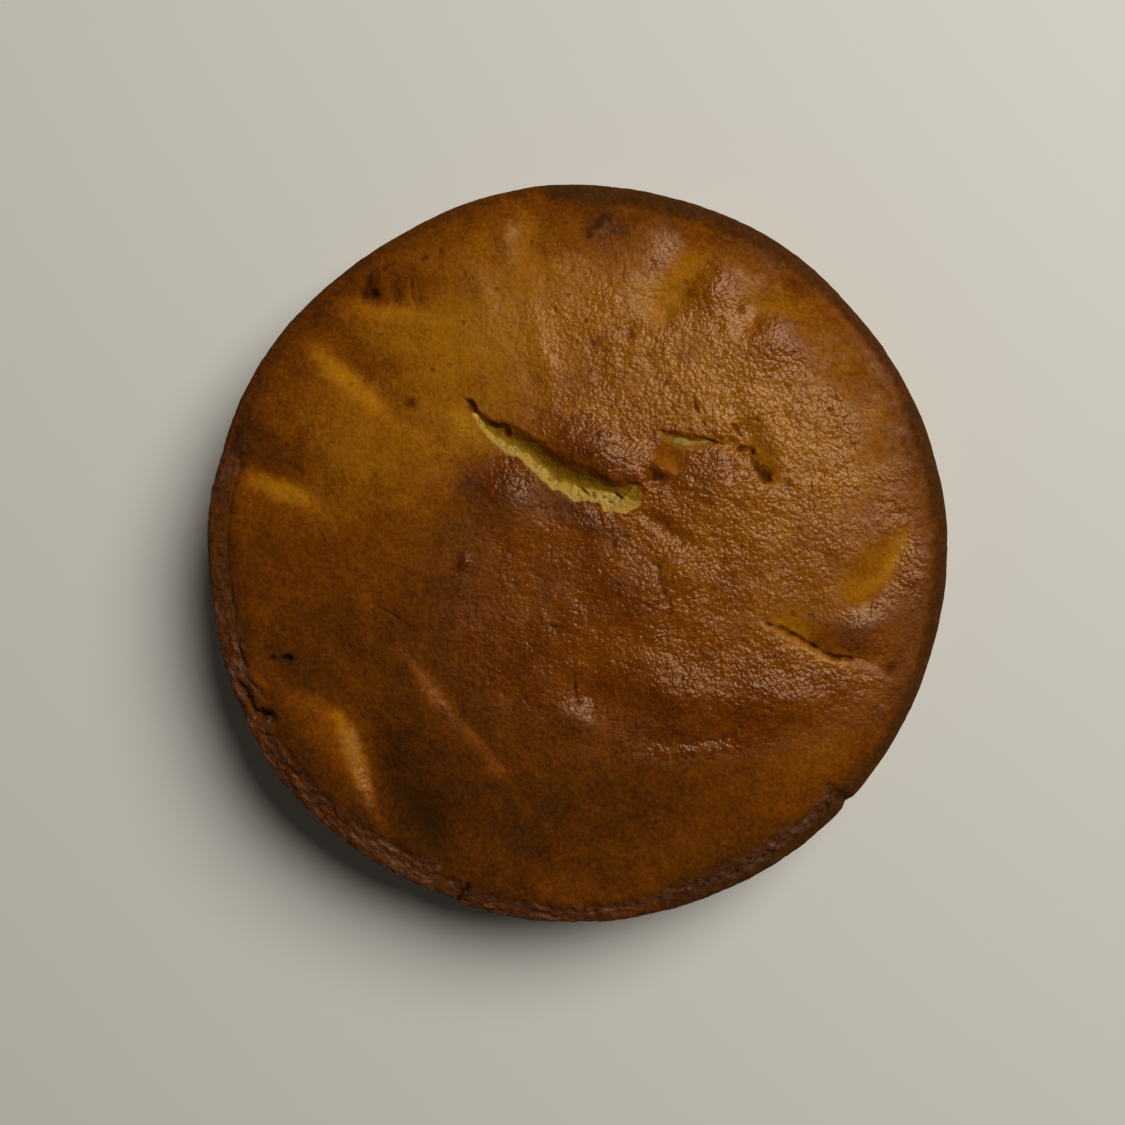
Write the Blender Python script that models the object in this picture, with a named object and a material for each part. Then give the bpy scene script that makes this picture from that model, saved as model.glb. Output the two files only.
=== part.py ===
"""An apple cake, baked whole in a round springform tin and stood on its flat base.

The cake is one solid: a domed crust with humps, furrows, burst cracks and pits, a rounded rim that breaks
into a flat ledge where batter stuck to the tin, an upright side and a flat base. A second small solid is the
end of an apple wedge, which shows in the crack beside the crown.

Metres, +Z up. The origin is the middle of the base. Sizes below are in millimetres unless they say degrees.
"""

import math
from dataclasses import dataclass

import bmesh
import bpy
import numpy as np

MM = 0.001

# Driving sizes of the whole cake
TIN_RADIUS = 130.0  # inside of a 26 cm springform tin
RIM_HEIGHT = 43.0  # crust where the dome meets the rounded rim
CROWN_HEIGHT = 50.5
CROWN_AT = (14.0, 8.0)  # the dome is highest a little off centre
DOME_POWER = 2.4  # how flat the dome stays before it falls to the rim

# Rim, side and foot
SHOULDER_REACH = 9.0  # how far in from the tin's wall the rim starts to roll over
SHOULDER_DROP = 4.5
SHOULDER_ROWS = 4
WALL_ROWS = 2
FOOT_RADIUS = 128.6
FOOT_ROUNDING = 1.4
ROLL_STEPS = (0.0, 0.25, 0.5, 0.75, 1.0)  # shares of the way over the rim
LEDGE_DROPS = (0.0, 1.8, 1.8, 2.4, SHOULDER_DROP)  # how far the broken ledge lies below the crust beside it
LEDGE_REACHES = (0.0, 0.22, 0.6, 0.94, 1.0)  # shares of the way out
LEDGE_FADE = 6.0  # degrees over which a ledge begins and ends
LARGE_BITE = 6.0  # degrees; a change of outline wider than this is in the wall too
LARGE_BITE_FADE = 0.5
TORN_DEPTH = 0.6  # share of a small bite that is gone where the rim meets the wall
WOBBLES = ((0.35, 3, 20), (0.25, 7, 75))  # reach, number round the cake and first angle of each

# Crust
RIPPLE_HEIGHT = 0.35
RIPPLE_LENGTHS = (7.3, 8.9)
END_FADE = 4.0  # a furrow fades over one part in this many of its length
END_SHARE = 0.3  # share of its depth that a furrow has at its ends
NARROW_SHARE = 0.4  # share of its depth that a burst has where it is narrow

# Mesh
TOP_RINGS = 18
FINE_REACH = 4.0  # crust this near a furrow is divided once
FINER_REACH = 1.5  # crust this near a burst crack is divided again
ROUTE_STEPS = 4  # straight pieces for each span of a route

# The apple wedge in the crack beside the crown
WEDGE_AT = (36.8, 38.0)
WEDGE_LENGTH = 14.0
WEDGE_THICKNESS = 4.4
WEDGE_DEPTH = 9.0
WEDGE_TOP_Z = 48.8
WEDGE_TURN = -9.0  # degrees
WEDGE_ARC_STEPS = 8
WEDGE_BLUNTNESS = 0.8  # below 1 the wedge's ends are blunter than an ellipse's
WEDGE_LEVELS = ((0.0, 0.30), (0.07, 0.72), (0.2, 1.0), (0.6, 0.9), (1.0, 0.62))  # shares of depth and outline
SEAT_GAP = 0.35  # clearance between the wedge and its seat in the crumb


@dataclass(frozen=True)
class Swell:
    """A rounded hump, or a hollow where rise is below zero."""

    name: str
    at: tuple
    length: float
    width: float
    turn: float  # degrees, from +X to the length
    rise: float


@dataclass(frozen=True)
class Fold:
    """A furrow along a route, with a slope of its own on each side; a lower power is a sharper bottom."""

    name: str
    route: tuple
    left: float
    right: float
    depth: float
    power: float = 2.0


@dataclass(frozen=True)
class Crack:
    """A burst in the crust along a route, opened to a half width at its start, its middle and its end."""

    name: str
    route: tuple
    half_widths: tuple
    depth: float


@dataclass(frozen=True)
class EdgeBite:
    """A place where the outline runs outside (above zero) or inside (below zero) the tin's circle."""

    name: str
    angle: float  # degrees
    spread: float  # degrees
    reach: float


SWELLS = (
    Swell("hump_over_the_burst", (10.0, 36.0), 17, 9, -25, 3.0),
    Swell("hump_below_the_burst", (-20.0, 24.5), 13, 9, -35, 3.0),
    Swell("hump_at_the_burst_end", (4.0, 10.0), 12, 6, -25, 1.0),
    Swell("plate_east_of_the_burst", (49.0, 24.0), 15, 12, -8, 1.6),
    Swell("hollow_beside_the_finger", (31.8, 32.2), 3.8, 4.8, 0, -2.2),
    Swell("finger_of_crust", (28.4, 27.8), 3.6, 2.0, -28, 2.2),
    Swell("hollow_west_of_the_hump", (-34.0, 24.0), 8, 13, 30, -1.8),
    Swell("swell_south_of_crown", (17.0, -12.0), 15, 8, -40, 1.3),
    Swell("swell_by_the_thin_crack", (34.0, -4.0), 7, 7, 0, 1.0),
    Swell("sheen_swell", (31.0, -47.0), 13, 9, -35, 2.0),
    Swell("sheen_swell_in_the_south_east", (68.0, -51.0), 30, 9, -3, 2.2),
    Swell("dell_in_the_south", (6.5, -50.0), 7, 6, 0, -2.2),
    Swell("lump_below_the_dell", (-0.5, -58.0), 6, 4, -20, 1.0),
    Swell("shoulder_in_the_south_west", (-92.0, -70.0), 25, 14, -52, 3.6),
    Swell("hollow_in_the_west", (-86.0, -36.0), 22, 15, -20, -2.2),
    Swell("hollow_in_the_south", (-12.0, -74.0), 22, 13, -20, -1.4),
    Swell("dimple_at_the_south_rim", (-53.0, -94.0), 10, 6, -50, -1.3),
    Swell("hump_by_the_east_crack", (97.0, -27.0), 12, 8, 5, 1.6),
    Swell("hollow_by_the_east_crack", (79.0, -22.0), 8, 8, -30, -1.4),
    Swell("dimple_in_the_east", (108.5, -40.5), 3.0, 2.0, 0, -1.2),
    Swell("hump_in_the_north_east", (67.0, 73.0), 11, 9, 0, 1.5),
    Swell("lump_in_the_north_east", (48.0, 91.0), 9, 8, 0, 1.4),
    Swell("dent_in_the_north_east", (58.0, 88.0), 7, 5, 0, -0.8),
    Swell("sunk_fruit_in_the_north", (12.0, 112.0), 8, 6, 0, -1.8),
    Swell("dell_in_the_north", (-15.0, 107.0), 6, 10, 0, -1.6),
    Swell("sunk_crust_in_the_north_west", (-65.0, 92.0), 15, 6, 8, -1.4),
    Swell("blister_in_the_pit", (-67.2, 92.6), 3.0, 4.8, -8, 1.6),
    Swell("blister_beside_it", (-59.4, 89.8), 2.2, 4.6, 0, 1.2),
    Swell("blister_at_the_end", (-53.4, 90.2), 2.6, 3.6, 0, 0.9),
    Swell("slope_of_the_north_west", (-72.0, 30.0), 30, 22, 20, 1.0),
    Swell("bump_in_the_north", (-25.0, 110.0), 3.6, 5.4, 10, 1.2),
    Swell("ripple_in_the_north", (-34.0, 92.0), 4, 13, 20, 0.9),
    Swell("bump_in_the_north_west", (-96.5, 64.2), 2.6, 4.2, -50, 0.8),
    Swell("bump_in_the_south_west", (-90.3, -55.9), 3.2, 2.4, 0, 0.8),
)

FOLDS = (
    Fold(
        "north_west_furrow",
        ((-94.0, 76.0), (-85.0, 68.5), (-77.5, 62.0), (-69.5, 54.5), (-60.0, 45.0)),
        14,
        4.8,
        2.6,
        1.3,
    ),
    Fold(
        "west_furrow",
        ((-122.0, 30.0), (-111.0, 28.5), (-102.5, 25.5), (-94.5, 20.5), (-84.0, 15.0)),
        14,
        5.0,
        2.4,
        1.3,
    ),
    Fold(
        "pit_wall",
        ((-79.0, 90.5), (-73.0, 87.6), (-66.0, 86.0), (-58.0, 85.6), (-48.0, 87.6)),
        7,
        2.9,
        1.9,
        1.5,
    ),
    Fold("north_east_furrow", ((50.0, 111.0), (40.0, 99.0), (33.0, 89.0), (24.0, 79.0)), 5, 8, 2.4),
    Fold("north_east_valley", ((78.0, 88.0), (69.0, 87.0), (62.0, 83.0), (58.0, 76.0)), 4, 6, 1.5),
    Fold("east_furrow", ((118.0, 8.0), (108.0, -3.0), (99.0, -11.0), (92.0, -18.0)), 6, 7, 1.0),
    Fold(
        "south_west_furrow",
        (
            (-100.0, -46.5),
            (-90.0, -50.5),
            (-83.0, -55.5),
            (-78.5, -61.0),
            (-74.6, -69.0),
            (-72.6, -77.0),
            (-69.6, -89.0),
        ),
        15,
        3.4,
        3.2,
        1.25,
    ),
    Fold(
        "long_furrow",
        ((-61.0, -31.0), (-50.0, -45.0), (-41.0, -57.0), (-30.0, -70.0), (-17.0, -86.0)),
        9,
        3.0,
        0.8,
        1.5,
    ),
    Fold("south_crease", ((20.0, -65.0), (32.0, -66.0), (44.0, -65.0), (58.0, -61.0)), 4, 2.4, 0.9),
    Fold("crown_groove", ((22.0, 14.0), (30.0, 8.0), (39.5, 2.0)), 2.0, 2.4, 1.1),
    Fold(
        "east_groove",
        ((54.0, 46.5), (58.5, 40.0), (62.0, 33.0), (65.5, 27.0), (68.0, 22.0)),
        4.2,
        1.5,
        1.8,
    ),
    Fold("wedge_crack", ((27.0, 41.6), (37.5, 39.3), (47.0, 38.4), (55.5, 36.0)), 1.6, 2.4, 2.4),
    Fold(
        "east_crack_slope",
        ((65.0, -24.5), (75.0, -28.0), (86.0, -35.0), (98.0, -37.0), (106.0, -40.5)),
        4.0,
        1.8,
        1.5,
    ),
)

CRACKS = (
    Crack(
        "burst_across_the_crown",
        (
            (-39.4, 52.9),
            (-30.0, 43.0),
            (-22.5, 38.5),
            (-12.3, 31.5),
            (-3.0, 26.0),
            (6.0, 23.0),
            (14.5, 20.0),
            (22.2, 18.5),
        ),
        (1.2, 5.6, 5.0),
        3.2,
    ),
    Crack(
        "east_crack",
        ((65.5, -24.5), (73.5, -28.0), (82.0, -32.5), (88.0, -36.0), (98.0, -37.0)),
        (0.8, 1.4, 0.8),
        2.2,
    ),
)

EDGE_BITES = (
    EdgeBite("flat_in_the_north_west", 121, 19, -2.4),
    EdgeBite("corner_in_the_north", 93, 5, 0.9),
    EdgeBite("flat_in_the_north_east", 42, 9, -1.2),
    EdgeBite("swelling_in_the_west", 174, 7, 1.2),
    EdgeBite("swelling_in_the_south_west", 216, 22, 2.4),
    EdgeBite("torn_place_in_the_west", 205, 2.2, -2.2),
    EdgeBite("torn_place_in_the_south", 248, 3.0, -2.4),
    EdgeBite("notch_in_the_south_east", 317.6, 1.3, -3.4),
)

LEDGES = ((188, 24), (228, 24), (300, 30))  # middle and half spread of each broken ledge, degrees


def spread_fade(angle, middle, spread):
    """One at the middle angle, falling smoothly to zero well outside the spread; degrees."""
    off = (angle - middle + 180) % 360 - 180
    return np.exp(-((off / spread) ** 2))


def outline_radius(angle, down):
    """Radius of the cake; down runs from 0 at the rim's crest to 1 where the wall is plain."""
    radius = np.full_like(angle, TIN_RADIUS)
    for reach, number, first in WOBBLES:
        radius += reach * np.sin(np.radians(number * angle + first))
    for bite in EDGE_BITES:
        kept = 1 - down * (LARGE_BITE_FADE if bite.spread > LARGE_BITE else 1.0)
        radius = radius + bite.reach * spread_fade(angle, bite.angle, bite.spread) * kept
    return radius


def ledge_share(angle):
    """How far the rolled rim gives way to a flat, broken ledge, from 0 to 1."""
    share = np.zeros_like(angle)
    for middle, half in LEDGES:
        off = np.abs((angle - middle + 180) % 360 - 180)
        share = np.maximum(share, np.clip((half - off) / LEDGE_FADE, 0.0, 1.0))
    return share


def smooth_route(route):
    """A route's points, with more between them on a smooth curve through them."""
    ends = [np.array(p, float) for p in route]
    padded = [2 * ends[0] - ends[1], *ends, 2 * ends[-1] - ends[-2]]
    curve = []
    for a, b, c, d in zip(padded, padded[1:], padded[2:], padded[3:]):
        for step in range(ROUTE_STEPS):
            t = step / ROUTE_STEPS
            bend = (c - a) * t + (2 * a - 5 * b + 4 * c - d) * t**2 + (3 * b - a - 3 * c + d) * t**3
            curve.append(b + bend / 2)
    curve.append(ends[-1])
    return np.array(curve)


def beside_route(points, route):
    """Each point's distance from a route, above zero on its left, and the share of it passed there."""
    curve = smooth_route(route)
    steps = np.diff(curve, axis=0)
    lengths = np.hypot(steps[:, 0], steps[:, 1])
    passed = np.concatenate(([0.0], np.cumsum(lengths)))
    nearest = np.full(len(points), np.inf)
    side = np.ones(len(points))
    share = np.zeros(len(points))
    for start, step, length, before in zip(curve, steps, lengths, passed):
        to_point = points - start
        t = np.clip(to_point @ step / length**2, 0.0, 1.0)
        off = to_point - t[:, None] * step
        distance = np.hypot(off[:, 0], off[:, 1])
        closer = distance < nearest
        turn = step[0] * to_point[:, 1] - step[1] * to_point[:, 0]
        nearest = np.where(closer, distance, nearest)
        side = np.where(closer, np.where(turn >= 0, 1.0, -1.0), side)
        share = np.where(closer, (before + t * length) / passed[-1], share)
    return nearest * side, share


def dome_height(points):
    """Height of the plain dome, without its humps and folds."""
    reach = np.hypot(points[:, 0] - CROWN_AT[0], points[:, 1] - CROWN_AT[1])
    edge = np.hypot(points[:, 0], points[:, 1])
    inner = TIN_RADIUS - SHOULDER_REACH
    share = np.clip(0.5 * (reach + edge) / inner, 0.0, 1.0)
    return RIM_HEIGHT + (CROWN_HEIGHT - RIM_HEIGHT) * (1 - share**DOME_POWER)


def swell_height(points, swell):
    """Height that one hump or hollow adds."""
    turn = math.radians(swell.turn)
    off = points - np.array(swell.at)
    along = off[:, 0] * math.cos(turn) + off[:, 1] * math.sin(turn)
    across = off[:, 1] * math.cos(turn) - off[:, 0] * math.sin(turn)
    return swell.rise * np.exp(-((along / swell.length) ** 2) - (across / swell.width) ** 2)


def fold_height(points, fold):
    """Height that one furrow takes away."""
    distance, share = beside_route(points, fold.route)
    slope = np.where(distance >= 0, fold.left, fold.right)
    start = np.clip(END_FADE * share + END_SHARE, 0.0, 1.0)
    end = np.clip(END_FADE * (1 - share) + END_SHARE, 0.0, 1.0)
    return -fold.depth * start * end * np.exp(-((np.abs(distance) / slope) ** fold.power))


def crack_height(points, crack):
    """Height that one burst crack takes away."""
    distance, share = beside_route(points, crack.route)
    half = np.interp(share, (0.0, 0.5, 1.0), crack.half_widths)
    across = np.clip(np.abs(distance) / half, 0.0, 1.0)
    return -crack.depth * np.sqrt(1 - across**2) * np.clip(half / max(crack.half_widths), NARROW_SHARE, 1.0)


def crust_height(points):
    """Height of the crust over points inside the rim."""
    ripple = np.sin(points[:, 0] / RIPPLE_LENGTHS[0]) * np.sin(points[:, 1] / RIPPLE_LENGTHS[1])
    height = dome_height(points) + RIPPLE_HEIGHT * ripple
    for swell in SWELLS:
        height += swell_height(points, swell)
    for fold in FOLDS:
        height += fold_height(points, fold)
    for crack in CRACKS:
        height += crack_height(points, crack)
    return height


def ring_stations():
    """How far each ring lies from the middle of the crust, measured over the rim and down the side."""
    inner = TIN_RADIUS - SHOULDER_REACH
    top = [inner * ring / TOP_RINGS for ring in range(TOP_RINGS + 1)]
    beyond = [inner + row + 1 for row in range(SHOULDER_ROWS + WALL_ROWS + 1)]
    return top + beyond


def unrolled_cake():
    """The crust and side laid out flat, as a square grid wrapped into rings."""
    stations = ring_stations()
    rings = len(stations) - 1
    mesh = bmesh.new()
    grid = {}
    for column in range(-rings, rings + 1):
        for row in range(-rings, rings + 1):
            ring = max(abs(column), abs(row))
            if ring == 0:
                angle = 0.0
            elif abs(column) > abs(row):
                angle = math.pi / 4 * row / column + (math.pi if column < 0 else 0.0)
            else:
                angle = math.pi / 2 - math.pi / 4 * column / row + (math.pi if row < 0 else 0.0)
            reach = stations[ring]
            grid[column, row] = mesh.verts.new((reach * math.cos(angle), reach * math.sin(angle), 0.0))
    for column in range(-rings, rings):
        for row in range(-rings, rings):
            corners = ((0, 0), (1, 0), (1, 1), (0, 1))
            mesh.faces.new([grid[column + i, row + j] for i, j in corners])
    return mesh


def divide_near(mesh, routes, reach):
    """Divides the faces of the unrolled crust that lie within reach of any route."""
    inner = TIN_RADIUS - SHOULDER_REACH
    mesh.faces.ensure_lookup_table()
    middles = np.array([face.calc_center_median()[:2] for face in mesh.faces])
    near = np.zeros(len(middles), bool)
    for route, half in routes:
        distance, _ = beside_route(middles, route)
        near |= np.abs(distance) < reach + half
    near &= np.hypot(middles[:, 0], middles[:, 1]) < inner - reach
    edges = {edge for face, chosen in zip(mesh.faces, near) if chosen for edge in face.edges}
    bmesh.ops.subdivide_edges(mesh, edges=list(edges), cuts=1, use_grid_fill=True)


def rolled_up(flat):
    """Places of the unrolled points on the real cake."""
    inner = TIN_RADIUS - SHOULDER_REACH
    reach = np.hypot(flat[:, 0], flat[:, 1])
    angle = np.degrees(np.arctan2(flat[:, 1], flat[:, 0]))
    direction = flat / np.maximum(reach, 1e-9)[:, None]
    on_top = direction * np.minimum(reach, inner)[:, None]
    ledge = ledge_share(angle)
    rim_z = crust_height(on_top)

    roll = np.clip((reach - inner) / SHOULDER_ROWS, 0.0, 1.0)
    wall = np.clip((reach - inner - SHOULDER_ROWS) / WALL_ROWS, 0.0, 1.0)
    foot = np.clip(reach - inner - SHOULDER_ROWS - WALL_ROWS, 0.0, 1.0)
    outline = outline_radius(angle, np.clip(TORN_DEPTH * roll + wall, 0.0, 1.0))
    round_reach = np.sin(roll * math.pi / 2)
    round_drop = SHOULDER_DROP * (1 - np.cos(roll * math.pi / 2))
    ledge_drop = np.interp(roll, ROLL_STEPS, LEDGE_DROPS)
    ledge_reach = np.interp(roll, ROLL_STEPS, LEDGE_REACHES)
    drop = round_drop * (1 - ledge) + ledge_drop * ledge
    out = round_reach * (1 - ledge) + ledge_reach * ledge

    held = np.minimum(reach, inner)
    stretched = held * (1 + (outline / TIN_RADIUS - 1) * (held / inner) ** 3)
    rim_start = inner * outline / TIN_RADIUS
    radius = np.where(reach <= inner, stretched, rim_start + (outline - rim_start) * out)
    radius = radius + (FOOT_RADIUS - TIN_RADIUS) * wall - FOOT_ROUNDING * foot
    wall_top = rim_z - drop
    z = np.where(wall > 0, wall_top + (FOOT_ROUNDING - wall_top) * wall, wall_top)
    z = np.where(foot > 0, FOOT_ROUNDING * (1 - foot), z)
    return np.column_stack((direction * radius[:, None], z))


def build_cake(material):
    """The whole cake, with its crust, side and flat base, centred on the origin."""
    mesh = unrolled_cake()
    furrows = [(fold.route, min(fold.left, fold.right) / 2) for fold in FOLDS]
    bursts = [(crack.route, max(crack.half_widths)) for crack in CRACKS]
    divide_near(mesh, furrows + bursts, FINE_REACH)
    divide_near(mesh, bursts, FINER_REACH)
    flat = np.array([vert.co[:2] for vert in mesh.verts])
    solid = rolled_up(flat)
    low, high = solid.min(axis=0), solid.max(axis=0)
    middle = np.array(((low[0] + high[0]) / 2, (low[1] + high[1]) / 2, 0.0))
    for vert, place in zip(mesh.verts, solid):
        vert.co = (place - middle) * MM
    base_loop = [edge for edge in mesh.edges if edge.is_boundary]
    bmesh.ops.contextual_create(mesh, geom=base_loop)
    bmesh.ops.recalc_face_normals(mesh, faces=mesh.faces)
    bmesh.ops.triangulate(mesh, faces=mesh.faces)
    return finished_object("cake", mesh, material), middle


def wedge_outline(growth):
    """Outline of the wedge seen from above: two shallow arcs that meet in blunt ends."""
    half_length = WEDGE_LENGTH / 2 + growth
    half_thickness = WEDGE_THICKNESS / 2 + growth
    outline = []
    for step in range(2 * WEDGE_ARC_STEPS):
        turn = math.pi * step / WEDGE_ARC_STEPS
        across = math.sin(turn)
        blunt = math.copysign(abs(across) ** WEDGE_BLUNTNESS, across)
        outline.append((half_length * math.cos(turn), half_thickness * blunt))
    return outline


def wedge_mesh(growth, middle):
    """The wedge, or its seat where growth is above zero: a crowned top and sides that taper downwards."""
    top = WEDGE_TOP_Z + growth
    depth = WEDGE_DEPTH + 2 * growth
    turn = math.radians(WEDGE_TURN)
    mesh = bmesh.new()
    loops = []
    for down, size in WEDGE_LEVELS:
        loop = []
        for x, y in wedge_outline(growth):
            place_x = WEDGE_AT[0] + size * (x * math.cos(turn) - y * math.sin(turn)) - middle[0]
            place_y = WEDGE_AT[1] + size * (x * math.sin(turn) + y * math.cos(turn)) - middle[1]
            loop.append(mesh.verts.new((place_x * MM, place_y * MM, (top - down * depth) * MM)))
        loops.append(loop)
    count = len(loops[0])
    for upper, lower in zip(loops, loops[1:]):
        for i in range(count):
            j = (i + 1) % count
            mesh.faces.new((upper[i], lower[i], lower[j], upper[j]))
    mesh.faces.new(loops[0])
    mesh.faces.new(reversed(loops[-1]))
    bmesh.ops.recalc_face_normals(mesh, faces=mesh.faces)
    bmesh.ops.triangulate(mesh, faces=mesh.faces)
    return mesh


def finished_object(name, mesh, material):
    """A named object in the scene from a bmesh, shaded smooth."""
    data = bpy.data.meshes.new(name)
    mesh.to_mesh(data)
    mesh.free()
    data.shade_smooth()
    data.materials.append(material)
    thing = bpy.data.objects.new(name, data)
    bpy.context.scene.collection.objects.link(thing)
    return thing


def cut_seat(cake, middle, material):
    """Cuts the wedge's seat out of the cake, a little larger than the wedge all round."""
    seat = finished_object("wedge_seat", wedge_mesh(SEAT_GAP, middle), material)
    seat.hide_render = True
    seat.display_type = "WIRE"
    cut = cake.modifiers.new("wedge_seat", "BOOLEAN")
    cut.operation = "DIFFERENCE"
    cut.solver = "EXACT"
    cut.object = seat


def plain_material(name, colour, roughness):
    """A Principled material of one colour."""
    material = bpy.data.materials.new(name)
    material.use_nodes = True
    shader = material.node_tree.nodes["Principled BSDF"]
    shader.inputs["Base Color"].default_value = (*colour, 1.0)
    shader.inputs["Roughness"].default_value = roughness
    shader.inputs["Metallic"].default_value = 0.0
    return material


def crust_material():
    """Baked crust, golden brown with a slight gloss."""
    return plain_material("crust", (0.23, 0.085, 0.012), 0.45)


def apple_material():
    """Cooked apple flesh, pale green and moist."""
    return plain_material("apple_flesh", (0.36, 0.28, 0.09), 0.35)


def clear_scene():
    """Removes whatever the scene holds at the start."""
    for thing in list(bpy.data.objects):
        bpy.data.objects.remove(thing, do_unlink=True)


def main():
    """Builds the cake and the wedge that shows in its crack."""
    clear_scene()
    crust = crust_material()
    apple = apple_material()
    cake, middle = build_cake(crust)
    cut_seat(cake, middle, crust)
    finished_object("apple_wedge", wedge_mesh(0.0, middle), apple)


main()
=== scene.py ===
"""The looks of a whole apple cake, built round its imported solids.

The crust, the side with the base, the torn crumb in the burst and the apple wedge's end are each a piece of
their own. Inside the classes sizes are in millimetres and angles in degrees; they turn into
metres where a mesh is made. X and Y of the relief start at the middle of the tin.
"""

import logging
import math
from dataclasses import dataclass, field
from enum import Enum
from typing import ClassVar

import bmesh
import bpy
import numpy as np
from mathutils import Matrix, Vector


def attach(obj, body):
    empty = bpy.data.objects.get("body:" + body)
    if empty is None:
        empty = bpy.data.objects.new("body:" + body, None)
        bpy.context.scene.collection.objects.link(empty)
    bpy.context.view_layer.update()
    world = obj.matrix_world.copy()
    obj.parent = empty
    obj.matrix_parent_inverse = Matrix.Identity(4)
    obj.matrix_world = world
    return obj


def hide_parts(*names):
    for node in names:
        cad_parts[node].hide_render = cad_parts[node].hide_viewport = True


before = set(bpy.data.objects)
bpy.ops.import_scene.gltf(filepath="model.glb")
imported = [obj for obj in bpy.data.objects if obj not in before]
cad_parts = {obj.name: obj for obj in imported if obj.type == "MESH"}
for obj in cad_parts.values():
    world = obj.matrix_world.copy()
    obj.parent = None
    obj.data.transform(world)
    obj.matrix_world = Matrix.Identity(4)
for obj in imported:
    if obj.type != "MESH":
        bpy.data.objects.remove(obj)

LOG = logging.getLogger("apple_cake")
MM = 0.001
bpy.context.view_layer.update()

TIN_RADIUS = 130.0
WEDGE_AT = (36.8, 38.0)  # middle of the wedge's seat in the crust

Route = tuple[tuple[float, float], ...]
Triple = tuple[float, float, float]
Fed = bpy.types.NodeSocket | float | Triple  # what feeds a node: a socket, a number or a colour


class Slot(Enum):
    """Names of the material slots."""

    CRUST = "crust"
    APPLE = "apple_flesh"
    CRUMB = "crumb"


class RimForm(Enum):
    """How the crust ends over the tin's wall."""

    ROLLED = "rolled"
    LEDGE = "ledge"
    CRUMBLED = "crumbled"


class Noise:
    """Smooth random relief that is the same on every run."""

    SLOPES = 256

    @classmethod
    def smooth(cls, points: np.ndarray, size: float, seed: int) -> np.ndarray:
        """Gradient noise over points.

        Args:
            points: places, one row each, of two or three numbers.
            size: length of one lump.
            seed: picks the pattern.

        Returns:
            One number for each point, from about -1 to 1.
        """
        rng = np.random.default_rng(seed)
        slopes = rng.normal(size=(cls.SLOPES, 3))
        slopes /= np.linalg.norm(slopes, axis=1)[:, None]
        shuffle = rng.permutation(cls.SLOPES)
        spot = np.zeros((len(points), 3))
        spot[:, : points.shape[1]] = points / size
        spot += rng.uniform(0, 50, 3)
        cell = np.floor(spot).astype(np.int64)
        inside = spot - cell
        ease = inside**3 * (inside * (inside * 6 - 15) + 10)
        total = np.zeros(len(points))
        for corner in range(8):
            step = np.array(((corner >> 2) & 1, (corner >> 1) & 1, corner & 1))
            key = np.zeros(len(points), np.int64)
            for axis in range(3):
                key = shuffle[(key + cell[:, axis] + step[axis]) % cls.SLOPES]
            lift = np.einsum("ij,ij->i", slopes[key], inside - step)
            weight = np.prod(np.where(step == 1, ease, 1 - ease), axis=1)
            total += weight * lift
        return 1.6 * total

    @classmethod
    def layered(
        cls, points: np.ndarray, size: float, seed: int, layers: int = 3, keep: float = 0.5
    ) -> np.ndarray:
        """Several layers of smooth noise, each half the size of the one before.

        Args:
            points: places, one row each.
            size: length of the largest lumps.
            seed: picks the pattern.
            layers: how many layers.
            keep: strength of each layer against the one before.

        Returns:
            One number for each point, from about -1 to 1.
        """
        total = np.zeros(len(points))
        weight = 0.0
        for layer in range(layers):
            total += keep**layer * cls.smooth(points, size / 2**layer, seed + 17 * layer)
            weight += keep**layer
        return total / weight

    @classmethod
    def creased(cls, points: np.ndarray, size: float, seed: int, layers: int = 2) -> np.ndarray:
        """Noise with sharp crests, as on wrinkled skin.

        Args:
            points: places, one row each.
            size: length of one wrinkle.
            seed: picks the pattern.
            layers: how many layers.

        Returns:
            One number for each point, 1 on a crest and near 0 between crests.
        """
        total = np.zeros(len(points))
        weight = 0.0
        for layer in range(layers):
            crest = 1 - np.clip(np.abs(cls.smooth(points, size / 2**layer, seed + 31 * layer)) * 2.2, 0, 1)
            total += 0.5**layer * crest**1.5
            weight += 0.5**layer
        return total / weight


@dataclass(frozen=True)
class Grain:
    """Uneven noise for one use: the size of its lumps, its pattern and layers, and its height."""

    size: float
    seed: int
    layers: int = 3
    keep: float = 0.5
    height: float = 1.0

    def over(self, points: np.ndarray) -> np.ndarray:
        """The noise at each point, times its height."""
        return self.height * Noise.layered(points, self.size, self.seed, self.layers, self.keep)


@dataclass(frozen=True)
class Flakes:
    """A pattern of irregular flakes, each lying at a level of its own."""

    size: float
    seed: int
    table_side: int = 64

    def lie(self, spots: np.ndarray) -> tuple[np.ndarray, np.ndarray]:
        """Level of the flake at each spot, and how near its edge is.

        Args:
            spots: places on the crust.

        Returns:
            Levels from 0 to 1, and distances to the next flake in flake sizes.
        """
        rng = np.random.default_rng(self.seed)
        side = self.table_side
        table = rng.uniform(size=(side, side, 3))
        spot = spots[:, :2] / self.size
        cell = np.floor(spot).astype(np.int64)
        first = np.full(len(spots), np.inf)
        second = np.full(len(spots), np.inf)
        level = np.zeros(len(spots))
        for step in np.ndindex(3, 3):
            there = cell + np.array(step) - 1
            pick = table[there[:, 0] % side, there[:, 1] % side]
            distance = np.hypot(*(there + pick[:, :2] - spot).T)
            closer = distance < first
            second = np.where(closer, first, np.minimum(second, distance))
            level = np.where(closer, pick[:, 2], level)
            first = np.minimum(first, distance)
        return level, second - first


def ease_between(value: np.ndarray, low: float, high: float) -> np.ndarray:
    """Shares from 0 to 1: zero below low, one above high, and smooth between them."""
    t = np.clip((value - low) / (high - low), 0.0, 1.0)
    return t * t * (3 - 2 * t)


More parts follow.
